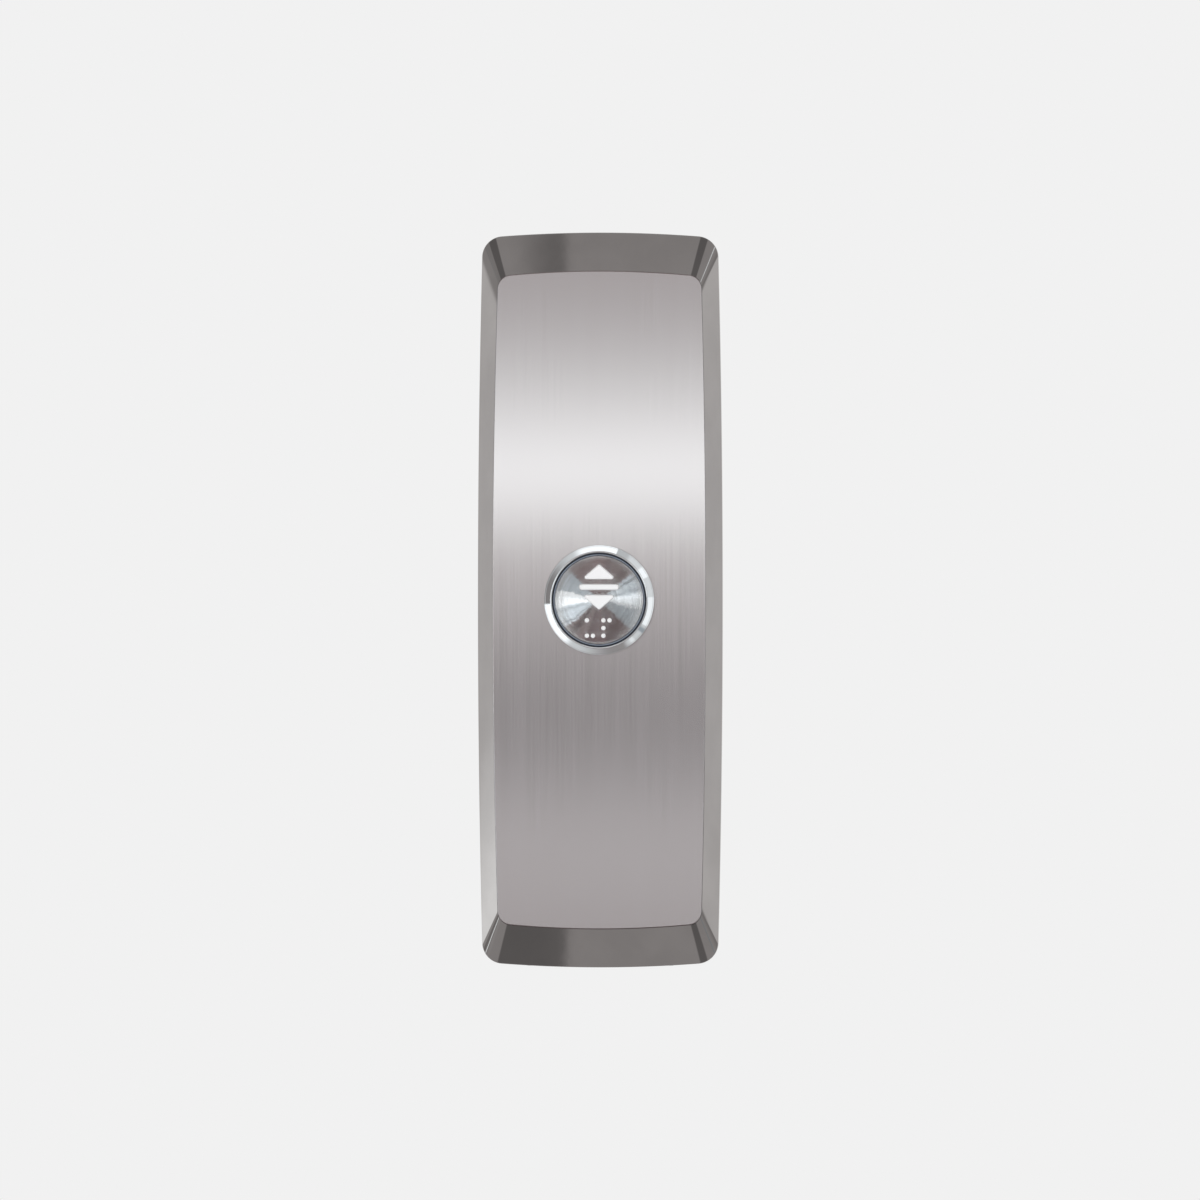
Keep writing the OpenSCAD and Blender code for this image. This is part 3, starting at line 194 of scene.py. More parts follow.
def outline(half_w, half_h, corner, inset, cover):
    """Closed outline of four shallow arcs joined by tangent corner arcs, drawn set in from its edge.

    Every point is a centre plus a radius times (cos a, sin a). The corner's centre is where the side
    arc and the end arc cross after both shrink by the corner radius. One quarter is mirrored round.
    """
    side_r, end_r = arc_radius(half_h, cover.side_bow), arc_radius(half_w, cover.end_bow)
    side_c, end_c = np.array([half_w - side_r, 0]), np.array([0, half_h - end_r])
    r0, r1 = side_r - corner, end_r - corner
    between = end_c - side_c
    far = np.hypot(*between)
    along = (r0 * r0 - r1 * r1 + far * far) / (2 * far)
    u = between / far
    corner_c = side_c + along * u + math.sqrt(r0 * r0 - along * along) * np.array([-u[1], u[0]])
    a0 = math.atan2(*(corner_c - side_c)[::-1])
    a1 = math.atan2(*(corner_c - end_c)[::-1])

    def arc(centre, radius, start, end, steps):
        a = np.linspace(start, end, steps + 1)[1:, None]
        return centre + (radius - inset) * np.hstack([np.cos(a), np.sin(a)])

    quarter = np.vstack([[[half_w - inset, 0]], arc(side_c, side_r, 0, a0, 56),
                         arc(corner_c, corner, a0, a1, 20), arc(end_c, end_r, a1, math.pi / 2, 24)])
    flip_x, flip_y = np.array([-1, 1]), np.array([1, -1])
    return np.vstack([quarter, quarter[-2::-1] * flip_x, -quarter[1:], (quarter[1:-1] * flip_y)[::-1]])


def face_height(y, cover, depth=0.0):
    """Height of the arched face at y, less a depth: the crest less a circle's drop at that distance."""
    radius = arc_radius(cover.height / 2 - cover.end_bevel, cover.arch)
    return cover.crest - radius + np.sqrt((radius - depth) ** 2 - np.asarray(y) ** 2)


def level(points, z):
    """Points of a flat drawing, all at one height."""
    return np.column_stack([points, np.full(len(points), z)])


def arched(points, cover, depth=0.0):
    """Points of a flat drawing laid on the arched face, or a depth below it."""
    return np.column_stack([points, face_height(points[:, 1], cover, depth)])


def eased(corners, radii, steps=5, support=1.6):
    """Closed section with each corner turned into a parabola.

    With a and c one ease length before and after the corner b, the curve is
    (1-t)^2 a + 2t(1-t) b + t^2 c. One more point on each side of it keeps the flats flat.
    """
    corners = np.asarray(corners, float)
    before, after = np.roll(corners, 1, 0) - corners, np.roll(corners, -1, 0) - corners
    before /= np.linalg.norm(before, axis=-1, keepdims=True)
    after /= np.linalg.norm(after, axis=-1, keepdims=True)
    shape = (-1,) + (1,) * (corners.ndim - 1)
    r = np.asarray(radii, float).reshape(shape)
    a, c = corners + r * before, corners + r * after
    t = np.linspace(0, 1, steps + 1).reshape((-1,) + (1,) * corners.ndim)
    curve = (1 - t) ** 2 * a + 2 * t * (1 - t) * corners + t ** 2 * c
    rows = np.concatenate([(corners + support * r * before)[None], curve,
                           (corners + support * r * after)[None]])
    return np.swapaxes(rows, 0, 1).reshape((-1,) + corners.shape[1:])


def strip(rows, columns, wrap_rows=False, start=0):
    """Quads between neighbouring rows of a grid whose columns close on themselves."""
    last = rows if wrap_rows else rows - 1
    i, j = np.meshgrid(np.arange(last), np.arange(columns), indexing="ij")
    k, m = (i + 1) % rows, (j + 1) % columns
    cells = [i * columns + j, k * columns + j, k * columns + m, i * columns + m]
    return start + np.stack(cells, -1).reshape(-1, 4)


def fan(pole, ring):
    """Triangles from a pole to a closed ring of points."""
    return np.stack([np.full(len(ring), pole), ring, np.roll(ring, -1)], -1)


def shell(rings, poles=None):
    """Closed skin over rings of points: a tube whose rows close, or a body closed by two poles."""
    rings = np.asarray(rings, float)
    rows, columns = rings.shape[:2]
    points = rings.reshape(-1, 3)
    if poles is None:
        return points, [strip(rows, columns, True)]
    first, final = rows * columns, rows * columns + 1
    faces = [strip(rows, columns), fan(first, np.arange(columns)),
             fan(final, np.arange(first - columns, first)[::-1])]
    return np.vstack([points, poles]), faces


def turned(profile, sides=192, centre=(0.0, 0.0)):
    """Rings of a profile turned about the out axis: (r cos a, r sin a, z) for every (r, z)."""
    profile = np.asarray(profile, float)
    a = np.linspace(0, 2 * math.pi, sides, endpoint=False)
    r, z = profile[:, :1], profile[:, 1:]
    return np.stack([centre[0] + r * np.cos(a), centre[1] + r * np.sin(a), np.repeat(z, sides, 1)], -1)


def swept(path, radius, sides=14):
    """Round tube along a path: each ring is the point plus radius times (cos a) side + (sin a) top.

    Side and top square off the path's tangent, taken from the out axis. The ends are closed by poles.
    """
    path = np.asarray(path, float)
    along = np.gradient(path, axis=0)
    along /= np.linalg.norm(along, axis=1, keepdims=True)
    side = np.cross(along, [0, 0, 1.0])
    side /= np.linalg.norm(side, axis=1, keepdims=True)
    top = np.cross(side, along)
    a = np.linspace(0, 2 * math.pi, sides, endpoint=False)[None, :, None]
    rings = path[:, None] + radius * (np.cos(a) * side[:, None] + np.sin(a) * top[:, None])
    return shell(rings, path[[0, -1]])


def rounded_polygon(corners, radius, steps=6):
    """Polygon whose corners are arcs that touch both edges.

    The centre lies on the corner's bisector at radius / sin(half angle), and the arc runs from one
    touching point to the other about it.
    """
    corners = np.asarray(corners, float)
    u, v = np.roll(corners, 1, 0) - corners, np.roll(corners, -1, 0) - corners
    u /= np.linalg.norm(u, axis=1, keepdims=True)
    v /= np.linalg.norm(v, axis=1, keepdims=True)
    half = np.arccos(np.clip((u * v).sum(1), -1, 1))[:, None] / 2
    middle = (u + v) / np.linalg.norm(u + v, axis=1, keepdims=True)
    centre = corners + middle * radius / np.sin(half)
    start, end = corners + u * radius / np.tan(half) - centre, corners + v * radius / np.tan(half) - centre
    turn = np.arctan2(start[:, 0] * end[:, 1] - start[:, 1] * end[:, 0], (start * end).sum(1))
    a = np.arctan2(start[:, 1], start[:, 0])[:, None] + turn[:, None] * np.linspace(0, 1, steps + 1)
    return (centre[:, None] + radius * np.stack([np.cos(a), np.sin(a)], -1)).reshape(-1, 2)


def joined(*parts):
    """Several (points, faces) bodies as one."""
    points, faces, start = [], [], 0
    for part_points, part_faces in parts:
        points.append(part_points)
        faces += [block + start for block in part_faces]
        start += len(part_points)
    return np.vstack(points), faces


def solid(rings, poles=None):
    """Closed skin over rings of points whose faces look outwards."""
    points, faces = shell(rings, poles)
    return points, outward(points, faces)


def outward(points, faces):
    """Turns the faces about if the volume that they enclose is negative."""
    total = 0.0
    for block in faces:
        a = points[block[:, 0]]
        for k in range(1, block.shape[1] - 1):
            total += (a * np.cross(points[block[:, k]], points[block[:, k + 1]])).sum()
    return faces if total > 0 else [block[:, ::-1] for block in faces]


def mesh_object(name, points, faces, sharp=math.radians(50)):
    """Smooth object from a drawing on its back; edges that turn by more than an angle stay sharp."""
    points = upright(points)
    faces = outward(points, faces)
    mesh = bpy.data.meshes.new(name)
    mesh.from_pydata(points, [], [row for block in faces for row in block.tolist()])
    mesh.shade_smooth()
    mesh.set_sharp_from_angle(angle=sharp)
    mesh.update()
    piece = bpy.data.objects.new(name, mesh)
    bpy.context.scene.collection.objects.link(piece)
    return piece


def carved(piece, cutters):
    """Cuts solids out of a piece, then deletes them."""
    for cutter in cutters:
        cut = piece.modifiers.new("cut", "BOOLEAN")
        cut.object, cut.operation, cut.solver = cutter, "DIFFERENCE", "EXACT"
    result = piece.evaluated_get(bpy.context.evaluated_depsgraph_get())
    mesh = bpy.data.meshes.new_from_object(result)
    piece.modifiers.clear()
    piece.data = mesh
    mesh.shade_smooth()
    mesh.set_sharp_from_angle(angle=math.radians(32))
    for cutter in cutters:
        bpy.data.objects.remove(cutter)
    return piece


def dressed(piece, material, body, node):
    """Gives a piece its material and its place in the construction model."""
    piece.data.materials.clear()
    piece.data.materials.append(material)
    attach(piece, body)
    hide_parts(node)
    return piece


def perforated(outer, holes):
    """Triangles of a flat sheet between an outer ring and holes, over the rings' points in order."""
    rings = [outer] + holes
    points = np.vstack(rings)
    starts = np.cumsum([0] + [len(ring) for ring in rings])
    loops = [list(range(a, b)) for a, b in zip(starts[:-1], starts[1:])]
    result = delaunay_2d_cdt([Vector(p) for p in points.tolist()], [], loops, 1, 1e-9)
    _, _, faces, origin, _, owners = result
    source = [ids[0] for ids in origin]
    kept = [[source[k] for k in face] for face, owner in zip(faces, owners) if owner == [0]]
    return np.array(kept)


# Shaders and materials


class Signal:
    """A shader socket that takes part in Python arithmetic."""

    def __init__(self, finish, socket):
        self.finish, self.socket = finish, socket

    def math(self, operation, *others):
        """Math node on this value and others."""
        values = dict(enumerate((self,) + others))
        return self.finish.node("ShaderNodeMath", {"operation": operation}, values)

    def __add__(self, other):
        return self.math("ADD", other)

    def __sub__(self, other):
        return self.math("SUBTRACT", other)

    def __mul__(self, other):
        return self.math("MULTIPLY", other)

    def __truediv__(self, other):
        return self.math("DIVIDE", other)

    def __rsub__(self, other):
        return self.finish.node("ShaderNodeMath", {"operation": "SUBTRACT"}, {0: other, 1: self})

    __radd__, __rmul__ = __add__, __mul__

    def __pow__(self, other):
        return self.math("POWER", other)


class Finish:
    """A procedural material, or the world, built from nodes by one method."""

    def __init__(self, owner):
        owner.use_nodes = True
        self.owner, self.tree = owner, owner.node_tree
        self.shader = next(n for n in self.tree.nodes if n.type in ("BSDF_PRINCIPLED", "BACKGROUND"))

    def node(self, kind, settings=None, inputs=None, output=0):
        """Adds a node, sets its settings and a ramp's stops, then its inputs, and gives one output."""
        node = self.tree.nodes.new(kind)
        for key, value in (settings or {}).items():
            if key == "stops":
                ramp = node.color_ramp
                while len(ramp.elements) < len(value):
                    ramp.elements.new(1.0)
                for element, (place, colour) in zip(ramp.elements, value):
                    element.position, element.color = place, (*colour, 1.0)
            else:
                setattr(node, key, value)
        for key, value in (inputs or {}).items():
            self.feed(node.inputs[key], value)
        return Signal(self, node.outputs[output])

    def feed(self, socket, value):
        """Links a signal to a socket, or sets the socket to a value."""
        if isinstance(value, Signal):
            self.tree.links.new(value.socket, socket)
        elif isinstance(value, (tuple, list)) and len(value) == 3 and socket.type == "RGBA":
            socket.default_value = (*value, 1.0)
        else:
            socket.default_value = value

    def set(self, **sockets):
        """Feeds sockets of the shader, which are named with underscores for spaces."""
        for key, value in sockets.items():
            self.feed(self.shader.inputs[key.replace("_", " ")], value)
        return self

    def place(self):
        """Object coordinates."""
        return self.node("ShaderNodeTexCoord", output=3)

    def stretched(self, place, scale):
        """Object coordinates times a scale for each axis."""
        return self.node("ShaderNodeVectorMath", {"operation": "MULTIPLY"}, {0: place, 1: scale})

    def noise(self, place, scale=1.0, detail=2.0, rough=0.5):
        return self.node("ShaderNodeTexNoise", {}, {"Vector": place, "Scale": scale, "Detail": detail,
                                                    "Roughness": rough})

    def between(self, value, low, high, start=0.0, end=1.0, smooth=True):
        """Maps low..high to start..end, eased at both ends."""
        settings = {"interpolation_type": "SMOOTHSTEP" if smooth else "LINEAR"}
        return self.node("ShaderNodeMapRange", settings, {"Value": value, "From Min": low, "From Max": high,
                                                          "To Min": start, "To Max": end})

    def mixed(self, low, high, factor):
        """Colour low where the factor is 0 and high where it is 1."""
        return self.node("ShaderNodeMix", {"data_type": "RGBA"}, {0: factor, 6: low, 7: high}, output=2)

    def bumped(self, height, distance, width=0.1):
        """Normal of a height times a distance, with its slope taken over a width in pixels."""
        values = {"Height": height, "Distance": distance, "Filter Width": width}
        return self.node("ShaderNodeBump", {}, values)


def scaled(colour, factor, limit=1.0):
    """Colour times a factor, with no channel above a limit."""
    return tuple(min(limit, c * factor) for c in colour)


def material(name):
    return Finish(bpy.data.materials.new(name))


def brushed_steel(sizes):
    """Sheet brushed along its length: streaks a few tenths of a millimetre wide and centimetres long."""
    f = material("brushed_steel")
    place = f.place()
    fine = f.noise(f.stretched(place, (3200, 60, 22)), detail=3)
    broad = f.noise(f.stretched(place, (420, 20, 5)), detail=2)
    streak = (fine - 0.5) * 0.6 + (broad - 0.5) * 0.3
    tone = f.between(streak, -0.3, 0.3, smooth=False)
    f.set(Base_Color=f.mixed(scaled(sizes.steel, 0.96), scaled(sizes.steel, 1.04), tone),
          Roughness=streak * 0.1 + sizes.steel_rough, Metallic=1.0, Anisotropic=0.92,
          Normal=f.bumped(fine, 1.5e-6),
          Tangent=f.node("ShaderNodeTangent", {"direction_type": "UV_MAP", "uv_map": "across"}))
    return f.owner


def polished_frame(sizes):
    """Dark mirror-like metal with faint wiping marks."""
    f = material("polished_frame")
    place = f.place()
    haze = f.noise(place, 60, detail=4)
    marks = f.noise(f.stretched(place, (900, 900, 160)), detail=3)
    tone = f.between(haze, 0.3, 0.7)
    f.set(Base_Color=f.mixed(scaled(sizes.polish, 0.96), scaled(sizes.polish, 1.04), tone),
          Roughness=(marks - 0.5) * 0.03 + sizes.polish_rough, Metallic=1.0,
          Normal=f.bumped(haze, 6e-6))
    return f.owner


def radial(f, place):
    """Distance from the button's axis, and the direction from it."""
    flat = f.stretched(place, (1, 0, 1))
    distance = f.node("ShaderNodeVectorMath", {"operation": "LENGTH"}, {0: flat}, output=1)
    direction = f.node("ShaderNodeVectorMath", {"operation": "NORMALIZE"}, {0: flat})
    return distance, direction


def grooves(f, place, pitch, wander=1.2):
    """Noise in rings: it changes fast with the distance from the axis and slowly round it."""
    distance, direction = radial(f, place)
    spread = f.stretched(direction, (wander, wander, wander))
    ring = f.node("ShaderNodeCombineXYZ", {}, {0: distance * (1 / pitch), 1: 0.0, 2: 0.0})
    return f.noise(f.node("ShaderNodeVectorMath", {"operation": "ADD"}, {0: spread, 1: ring}), detail=3)


def spun_steel(sizes):
    """Metal turned on a lathe: fine rings with one long and one short flank send light along the radius."""
    f = material("spun_steel")
    place = f.place()
    distance, _ = radial(f, place)
    fine = grooves(f, place, 1.6e-4)
    broad = grooves(f, place, 9e-4)
    tone = f.between((fine - 0.5) * 0.5 + (broad - 0.5) * 0.5, -0.25, 0.25, smooth=False)
    pitch, rise = 1.7e-4, 0.35
    turn = (distance * (1 / pitch) + broad * 2.0).math("FRACT")
    ring = (turn * (1 / rise)).math("MINIMUM", (1 - turn) * (1 / (1 - rise)))
    f.set(Base_Color=f.mixed(scaled(sizes.spun, 0.93), scaled(sizes.spun, 1.07), tone),
          Roughness=(fine - 0.5) * 0.04 + sizes.spun_rough, Metallic=1.0, Anisotropic=1.0,
          Anisotropic_Rotation=0.25, Normal=f.bumped(ring, 2.65e-5, 0.02),
          Tangent=f.node("ShaderNodeTangent", {"direction_type": "RADIAL", "axis": "Y"}))
    return f.owner


def chrome_trim(sizes):
    """Bright chrome with a trace of turning marks."""
    f = material("chrome_trim")
    fine = grooves(f, f.place(), 3e-4)
    f.set(Base_Color=f.mixed(scaled(sizes.chrome, 0.97), sizes.chrome[:], f.between(fine, 0.3, 0.7)),
          Roughness=(fine - 0.5) * 0.02 + 0.035, Metallic=1.0, Normal=f.bumped(fine, 2e-7))
    return f.owner


def dark_ring(sizes):
    """Smoked plastic light ring, with a pale band painted at its inner edge as a highlight."""
    f = material("dark_lens")
    place = f.place()
    haze = f.noise(place, 900, detail=2)
    distance, _ = radial(f, place)
    smoke = f.mixed(sizes.halo[:], scaled(sizes.halo, 1.8), haze)
    # Painted highlight: a pale blue-grey band at the inner edge, made light enough to outweigh the shade of
    # the groove that the ring sits in.
    pale, past_painted_highlight = (0.40, 0.46, 0.56), f.between(distance, 15.56 * MM, 15.76 * MM)
    f.set(Base_Color=f.mixed(pale, smoke, past_painted_highlight), Roughness=haze * 0.1 + 0.14, Coat_Weight=0.3)
    return f.owner


def white_lens(sizes):
    """Moulded translucent white with a faint grain and a painted glow that brightens it."""
    f = material("white_lens")
    grain = f.noise(f.place(), 1500, detail=2)
    f.set(Base_Color=f.mixed(scaled(sizes.symbols, 0.97), sizes.symbols[:], grain),
          # Painted glow: a weak white emission brightens the symbols and the dots beyond what the lamps
          # give them.
          Roughness=(grain - 0.5) * 0.1 + 0.35, Emission_Color=(1.0, 1.0, 1.0), Emission_Strength=0.26,
          Normal=f.bumped(grain, 4e-6))
    return f.owner


def moulded(name, colour, roughness, grain_size=4e-4):
    """Moulded plastic or rubber with a fine spark grain."""
    f = material(name)
    place = f.place()
    grain = f.noise(place, 1 / grain_size, detail=3)
    shade = f.noise(place, 120, detail=2)
    f.set(Base_Color=f.mixed(scaled(colour, 0.88), scaled(colour, 1.08), shade),
          Roughness=(grain - 0.5) * 0.16 + roughness, Normal=f.bumped(grain, grain_size * 0.06))
    return f.owner


def plated(name, colour, roughness, mottle=0.1, scale=300):
    """Plated or drawn metal: a mottled sheen with fine scratches."""
    f = material(name)
    place = f.place()
    cloud = f.noise(place, scale, detail=4)
    scratch = f.noise(f.stretched(place, (5000, 500, 500)), detail=2)
    tone = f.between(cloud, 0.3, 0.7)
    f.set(Base_Color=f.mixed(scaled(colour, 1 - mottle), scaled(colour, 1 + mottle), tone),
          Roughness=(cloud - 0.5) * 0.2 + (scratch - 0.5) * 0.1 + roughness, Metallic=1.0,
          Normal=f.bumped(scratch, 3e-6))
    return f.owner


def galvanised(name, colour):
    """Zinc-plated sheet: soft spangles a few millimetres across."""
    f = material(name)
    place = f.place()
    spangle = f.node("ShaderNodeTexVoronoi", {"feature": "SMOOTH_F1"}, {"Vector": place, "Scale": 240.0,
                                                                        "Smoothness": 0.4})
    cloud = f.noise(place, 90, detail=4)
    scratch = f.noise(f.stretched(place, (140, 140, 3500)), detail=2)
    tone = f.between(spangle * 0.5 + cloud * 0.5, 0.2, 0.6)
    f.set(Base_Color=f.mixed(scaled(colour, 0.9), scaled(colour, 1.1), tone),
          Roughness=(cloud - 0.5) * 0.2 + (scratch - 0.5) * 0.08 + 0.36, Metallic=1.0,
          Normal=f.bumped(spangle, 1e-5))
    return f.owner


def solder_resist(name, colour):
    """Green board: copper tracks show through the varnish as lighter lines."""
    f = material(name)
    place = f.place()
    tracks = f.node("ShaderNodeTexBrick", {"offset": 0.5},
                    {"Vector": place, "Color1": (0, 0, 0), "Color2": (0, 0, 0),
                     "Mortar": (1, 1, 1), "Scale": 160.0, "Mortar Size": 0.03, "Row Height": 0.5}, output=1)
    glaze = f.noise(place, 700, detail=2)
    f.set(Base_Color=f.mixed(colour, scaled(colour, 1.7), tracks * 0.6 + glaze * 0.2),
          Roughness=glaze * 0.12 + 0.2, Coat_Weight=0.4, Normal=f.bumped(tracks, 2e-5))
    return f.owner


def striped_insulation(name):
    """Green and yellow earth insulation: two colours side by side along the lead."""
    f = material(name)
    place = f.place()
    across = f.node("ShaderNodeSeparateXYZ", {}, {0: place}, output=1)
    band = f.between(across.math("PINGPONG", 1.1e-3), 0.45e-3, 0.6e-3)
    grain = f.noise(place, 900, detail=2)
    f.set(Base_Color=f.mixed((0.02, 0.20, 0.05), (0.80, 0.66, 0.05), band), Roughness=grain * 0.15 + 0.35,
          Normal=f.bumped(grain, 8e-6))
    return f.owner


def cad_finishes():
    """Materials of the construction nodes that are shown as they are, by node."""
    black = moulded("black_plastic", (0.022, 0.022, 0.024), 0.42)
    ivory = moulded("ivory_plastic", (0.72, 0.68, 0.56), 0.38)
    green = moulded("green_plastic", (0.03, 0.26, 0.10), 0.34)
    grey = moulded("grey_plastic", (0.42, 0.43, 0.44), 0.45)
    zinc = plated("zinc_hardware", (0.66, 0.67, 0.69), 0.28)
    tinned = plated("tinned_copper", (0.78, 0.77, 0.74), 0.3)
    gold = plated("gold_plate", (0.88, 0.64, 0.25), 0.22, 0.05)
    brass = plated("brass_stud", (0.78, 0.57, 0.27), 0.3, 0.08)
    board = solder_resist("green_board", (0.012, 0.10, 0.04))
    white = moulded("white_plastic", (0.80, 0.80, 0.78), 0.4)
    return {
        "base_tray": galvanised("zinc_sheet", (0.60, 0.62, 0.645)),
        "bonding_tape": moulded("foam_tape", (0.78, 0.78, 0.75), 0.8, 8e-4),
        "window_liner": black, "clinch_nuts": zinc, "cover_screws": zinc, "board_standoffs": zinc,
        "board_screws": zinc, "main_board": board, "button_board": board,
        "board_chips": moulded("black_package", (0.018, 0.018, 0.02), 0.5), "chip_leads": tinned,
        "board_capacitors": plated("can_metal", (0.74, 0.75, 0.77), 0.26, 0.04),
        "small_components": moulded("ceramic", (0.46, 0.34, 0.20), 0.3), "buzzer": black,
        "address_switch": black, "address_rotor": white, "field_socket": green, "field_plug": green,
        "terminal_screws": zinc, "board_header": ivory, "button_header": ivory, "header_pins": gold,
        "harness_plugs": ivory, "earth_studs": brass, "earth_nuts": brass, "earth_lugs": tinned,
        "earth_lead": striped_insulation("earth_insulation"), "button_barrel": black,
        "bezel_gasket": moulded("black_rubber", (0.02, 0.02, 0.02), 0.75),
        "ring_nut": plated("nut_metal", (0.52, 0.53, 0.55), 0.42, 0.14), "nut_washer": zinc,
        "button_plunger": grey, "button_leds": white, "switch_case": black, "switch_pins": gold,
        "switch_lever": plated("spring_steel", (0.62, 0.62, 0.64), 0.24, 0.05),
        "switch_plunger": moulded("red_plastic", (0.42, 0.03, 0.02), 0.36), "rear_cap": black,
        "rear_cap_screws": zinc,
    }


# Operators: one for each piece or group of like pieces, and one for the stage


class LIFT_OT_cover(bpy.types.Operator):
    """Polished cover frame: side wall, bevel and ledge, with eased edges"""

    bl_idname = "lift_panel.cover"
    bl_label = "Cover frame"

    def execute(self, context):
        cover = context.scene.lift_cover
        half_w, half_h = cover.width / 2, cover.height / 2
        face_w, face_h = half_w - cover.side_bevel, half_h - cover.end_bevel

        def rim(inset):
            return outline(half_w, half_h, cover.corner, inset, cover)

        def brow(inset):
            return outline(face_w, face_h, cover.face_corner, inset, cover)

        # A section whose corners each follow their own outline, carried round the cover.
        section = [level(rim(0), cover.lift), level(rim(0), cover.skirt), arched(brow(0), cover),
                   arched(brow(0), cover, cover.seat), arched(brow(cover.ledge), cover, cover.seat),
                   arched(brow(cover.ledge), cover, cover.seat + cover.ledge_depth),
                   level(rim(cover.wall), cover.skirt - cover.wall / 2), level(rim(cover.wall), cover.lift)]
        radii = np.array([0.3, 0.2, 0.14, 0.15, 0.2, 0.2, 0.3, 0.3]) * MM
        body = shell(eased(section, radii))
        end_r, tray_gap = arc_radius(half_w, cover.end_bow), 0.5 * MM
        end_wall = half_h - end_r + math.sqrt(end_r ** 2 - cover.screw_x ** 2)
        tray_end = half_h - cover.end_bow - cover.wall - tray_gap
        piece = mesh_object("cover_shell", *body, sharp=math.radians(60))
        sink = np.array([[3.1, -1.0], [3.1, 0.0], [1.55, 1.5], [1.55, 4.0]]) * MM
        points, faces = shell(turned(sink, 64), np.array([[0, 0, sink[0, 1]], [0, 0, sink[-1, 1]]]))
        points = np.stack([points[:, 0], points[:, 2] - end_wall, points[:, 1]], -1)
        places = [np.array([side * cover.screw_x, 0, cover.screw_z]) for side in (-1, 1)]
        carved(piece, [mesh_object("countersink", points + place, faces) for place in places])
        hooks = self.catches(cover, places, tray_end, end_wall)
        finish = polished_frame(context.scene.lift_finishes)
        for part in (piece, hooks):
            dressed(part, finish, "panel", "bevel_frame")
        return {"FINISHED"}

    @staticmethod
    def catches(cover, places, tray_end, end_wall):
        """Two hooks in the upper end wall, two screw bosses in the lower, and the earth stud's boss."""
        root = end_wall - cover.wall / 2
        bar = np.array([[-5, -1.1], [5, -1.1], [5, 1.1], [-5, 1.1]]) * MM
        ring = eased(bar, [0.3 * MM] * 4, 3)
        ends = [tray_end - 4 * MM, root]
        rings = np.stack([np.stack([ring[:, 0], np.full(len(ring), y), ring[:, 1]], -1) for y in ends])
        hook = solid(rings, np.array([[0, y, 0] for y in ends]))
        inner, outer, near = 1.55 * MM, 3.5 * MM, tray_end + 0.15 * MM
        profile = [[inner, near], [outer, near], [outer, root], [inner, root]]
        points, faces = solid(eased(turned(profile, 48), [0.15 * MM] * 4, 3))
        boss = (np.stack([points[:, 0], -points[:, 2], points[:, 1]], -1), faces)
        parts = [(points + place, faces) for place in places for points, faces in (hook, boss)]
        stud_place = (-31.4 * MM, 48 * MM)
        profile = np.array([[2.0, 13.0], [3.4, 13.0], [3.4, 19.8], [2.0, 19.8]]) * MM
        parts.append(solid(turned(profile, 48, stud_place)))
        return mesh_object("cover_catches", *joined(*parts), sharp=math.radians(40))


class LIFT_OT_face(bpy.types.Operator):
    """Brushed sheet, arched along its length, with the round hole for the button"""

    bl_idname = "lift_panel.face"
    bl_label = "Face sheet"

    def execute(self, context):
        cover = context.scene.lift_cover
        half_w, half_h = cover.width / 2 - cover.side_bevel, cover.height / 2 - cover.end_bevel
        # The joint is drawn tighter than in the construction model.
        gap, ease = cover.gap / 3, 0.14 * MM
        edge = outline(half_w, half_h, cover.face_corner, gap, cover)
        eased_edge = outline(half_w, half_h, cover.face_corner, gap + ease, cover)
        # Rings of points that lie a share of the way from the hole to the edge, at the edge's angles.
        angle = np.arctan2(eased_edge[:, 1], eased_edge[:, 0])[:, None]
        hole = cover.hole * np.hstack([np.cos(angle), np.sin(angle)])
        share_out = np.linspace(0, 1, 30)[:, None, None]
        spread = hole + (eased_edge - hole) * share_out
        front = [arched(ring, cover) for ring in spread]
        rim = [arched(edge + (eased_edge - edge) * s, cover, d * MM)
               for s, d in ((0.42, 0.0), (0.16, 0.03), (0.03, 0.1), (0.0, 0.2), (0.0, 0.4))]
        back = [arched(ring, cover, cover.sheet) for ring in (edge, *spread[::-1])]
        piece = mesh_object("face_sheet", *shell(np.stack(front + rim + back)), sharp=math.radians(50))
        self.lay_across(piece.data)
        dressed(piece, brushed_steel(context.scene.lift_finishes), "panel", "face_plate")
        return {"FINISHED"}

    @staticmethod
    def lay_across(mesh):
        """UV map whose first axis runs across the sheet: (x - y, z - y), so that no wall is edge-on."""
        points = np.empty(3 * len(mesh.vertices))
        mesh.vertices.foreach_get("co", points)
        corner = np.empty(len(mesh.loops), int)
        mesh.loops.foreach_get("vertex_index", corner)
        x, y, z = points.reshape(-1, 3)[corner].T
        flat = np.column_stack([x - y, z - y]) * 2 + 0.5
        mesh.uv_layers.new(name="across").data.foreach_set("uv", flat.ravel().astype(np.float32))


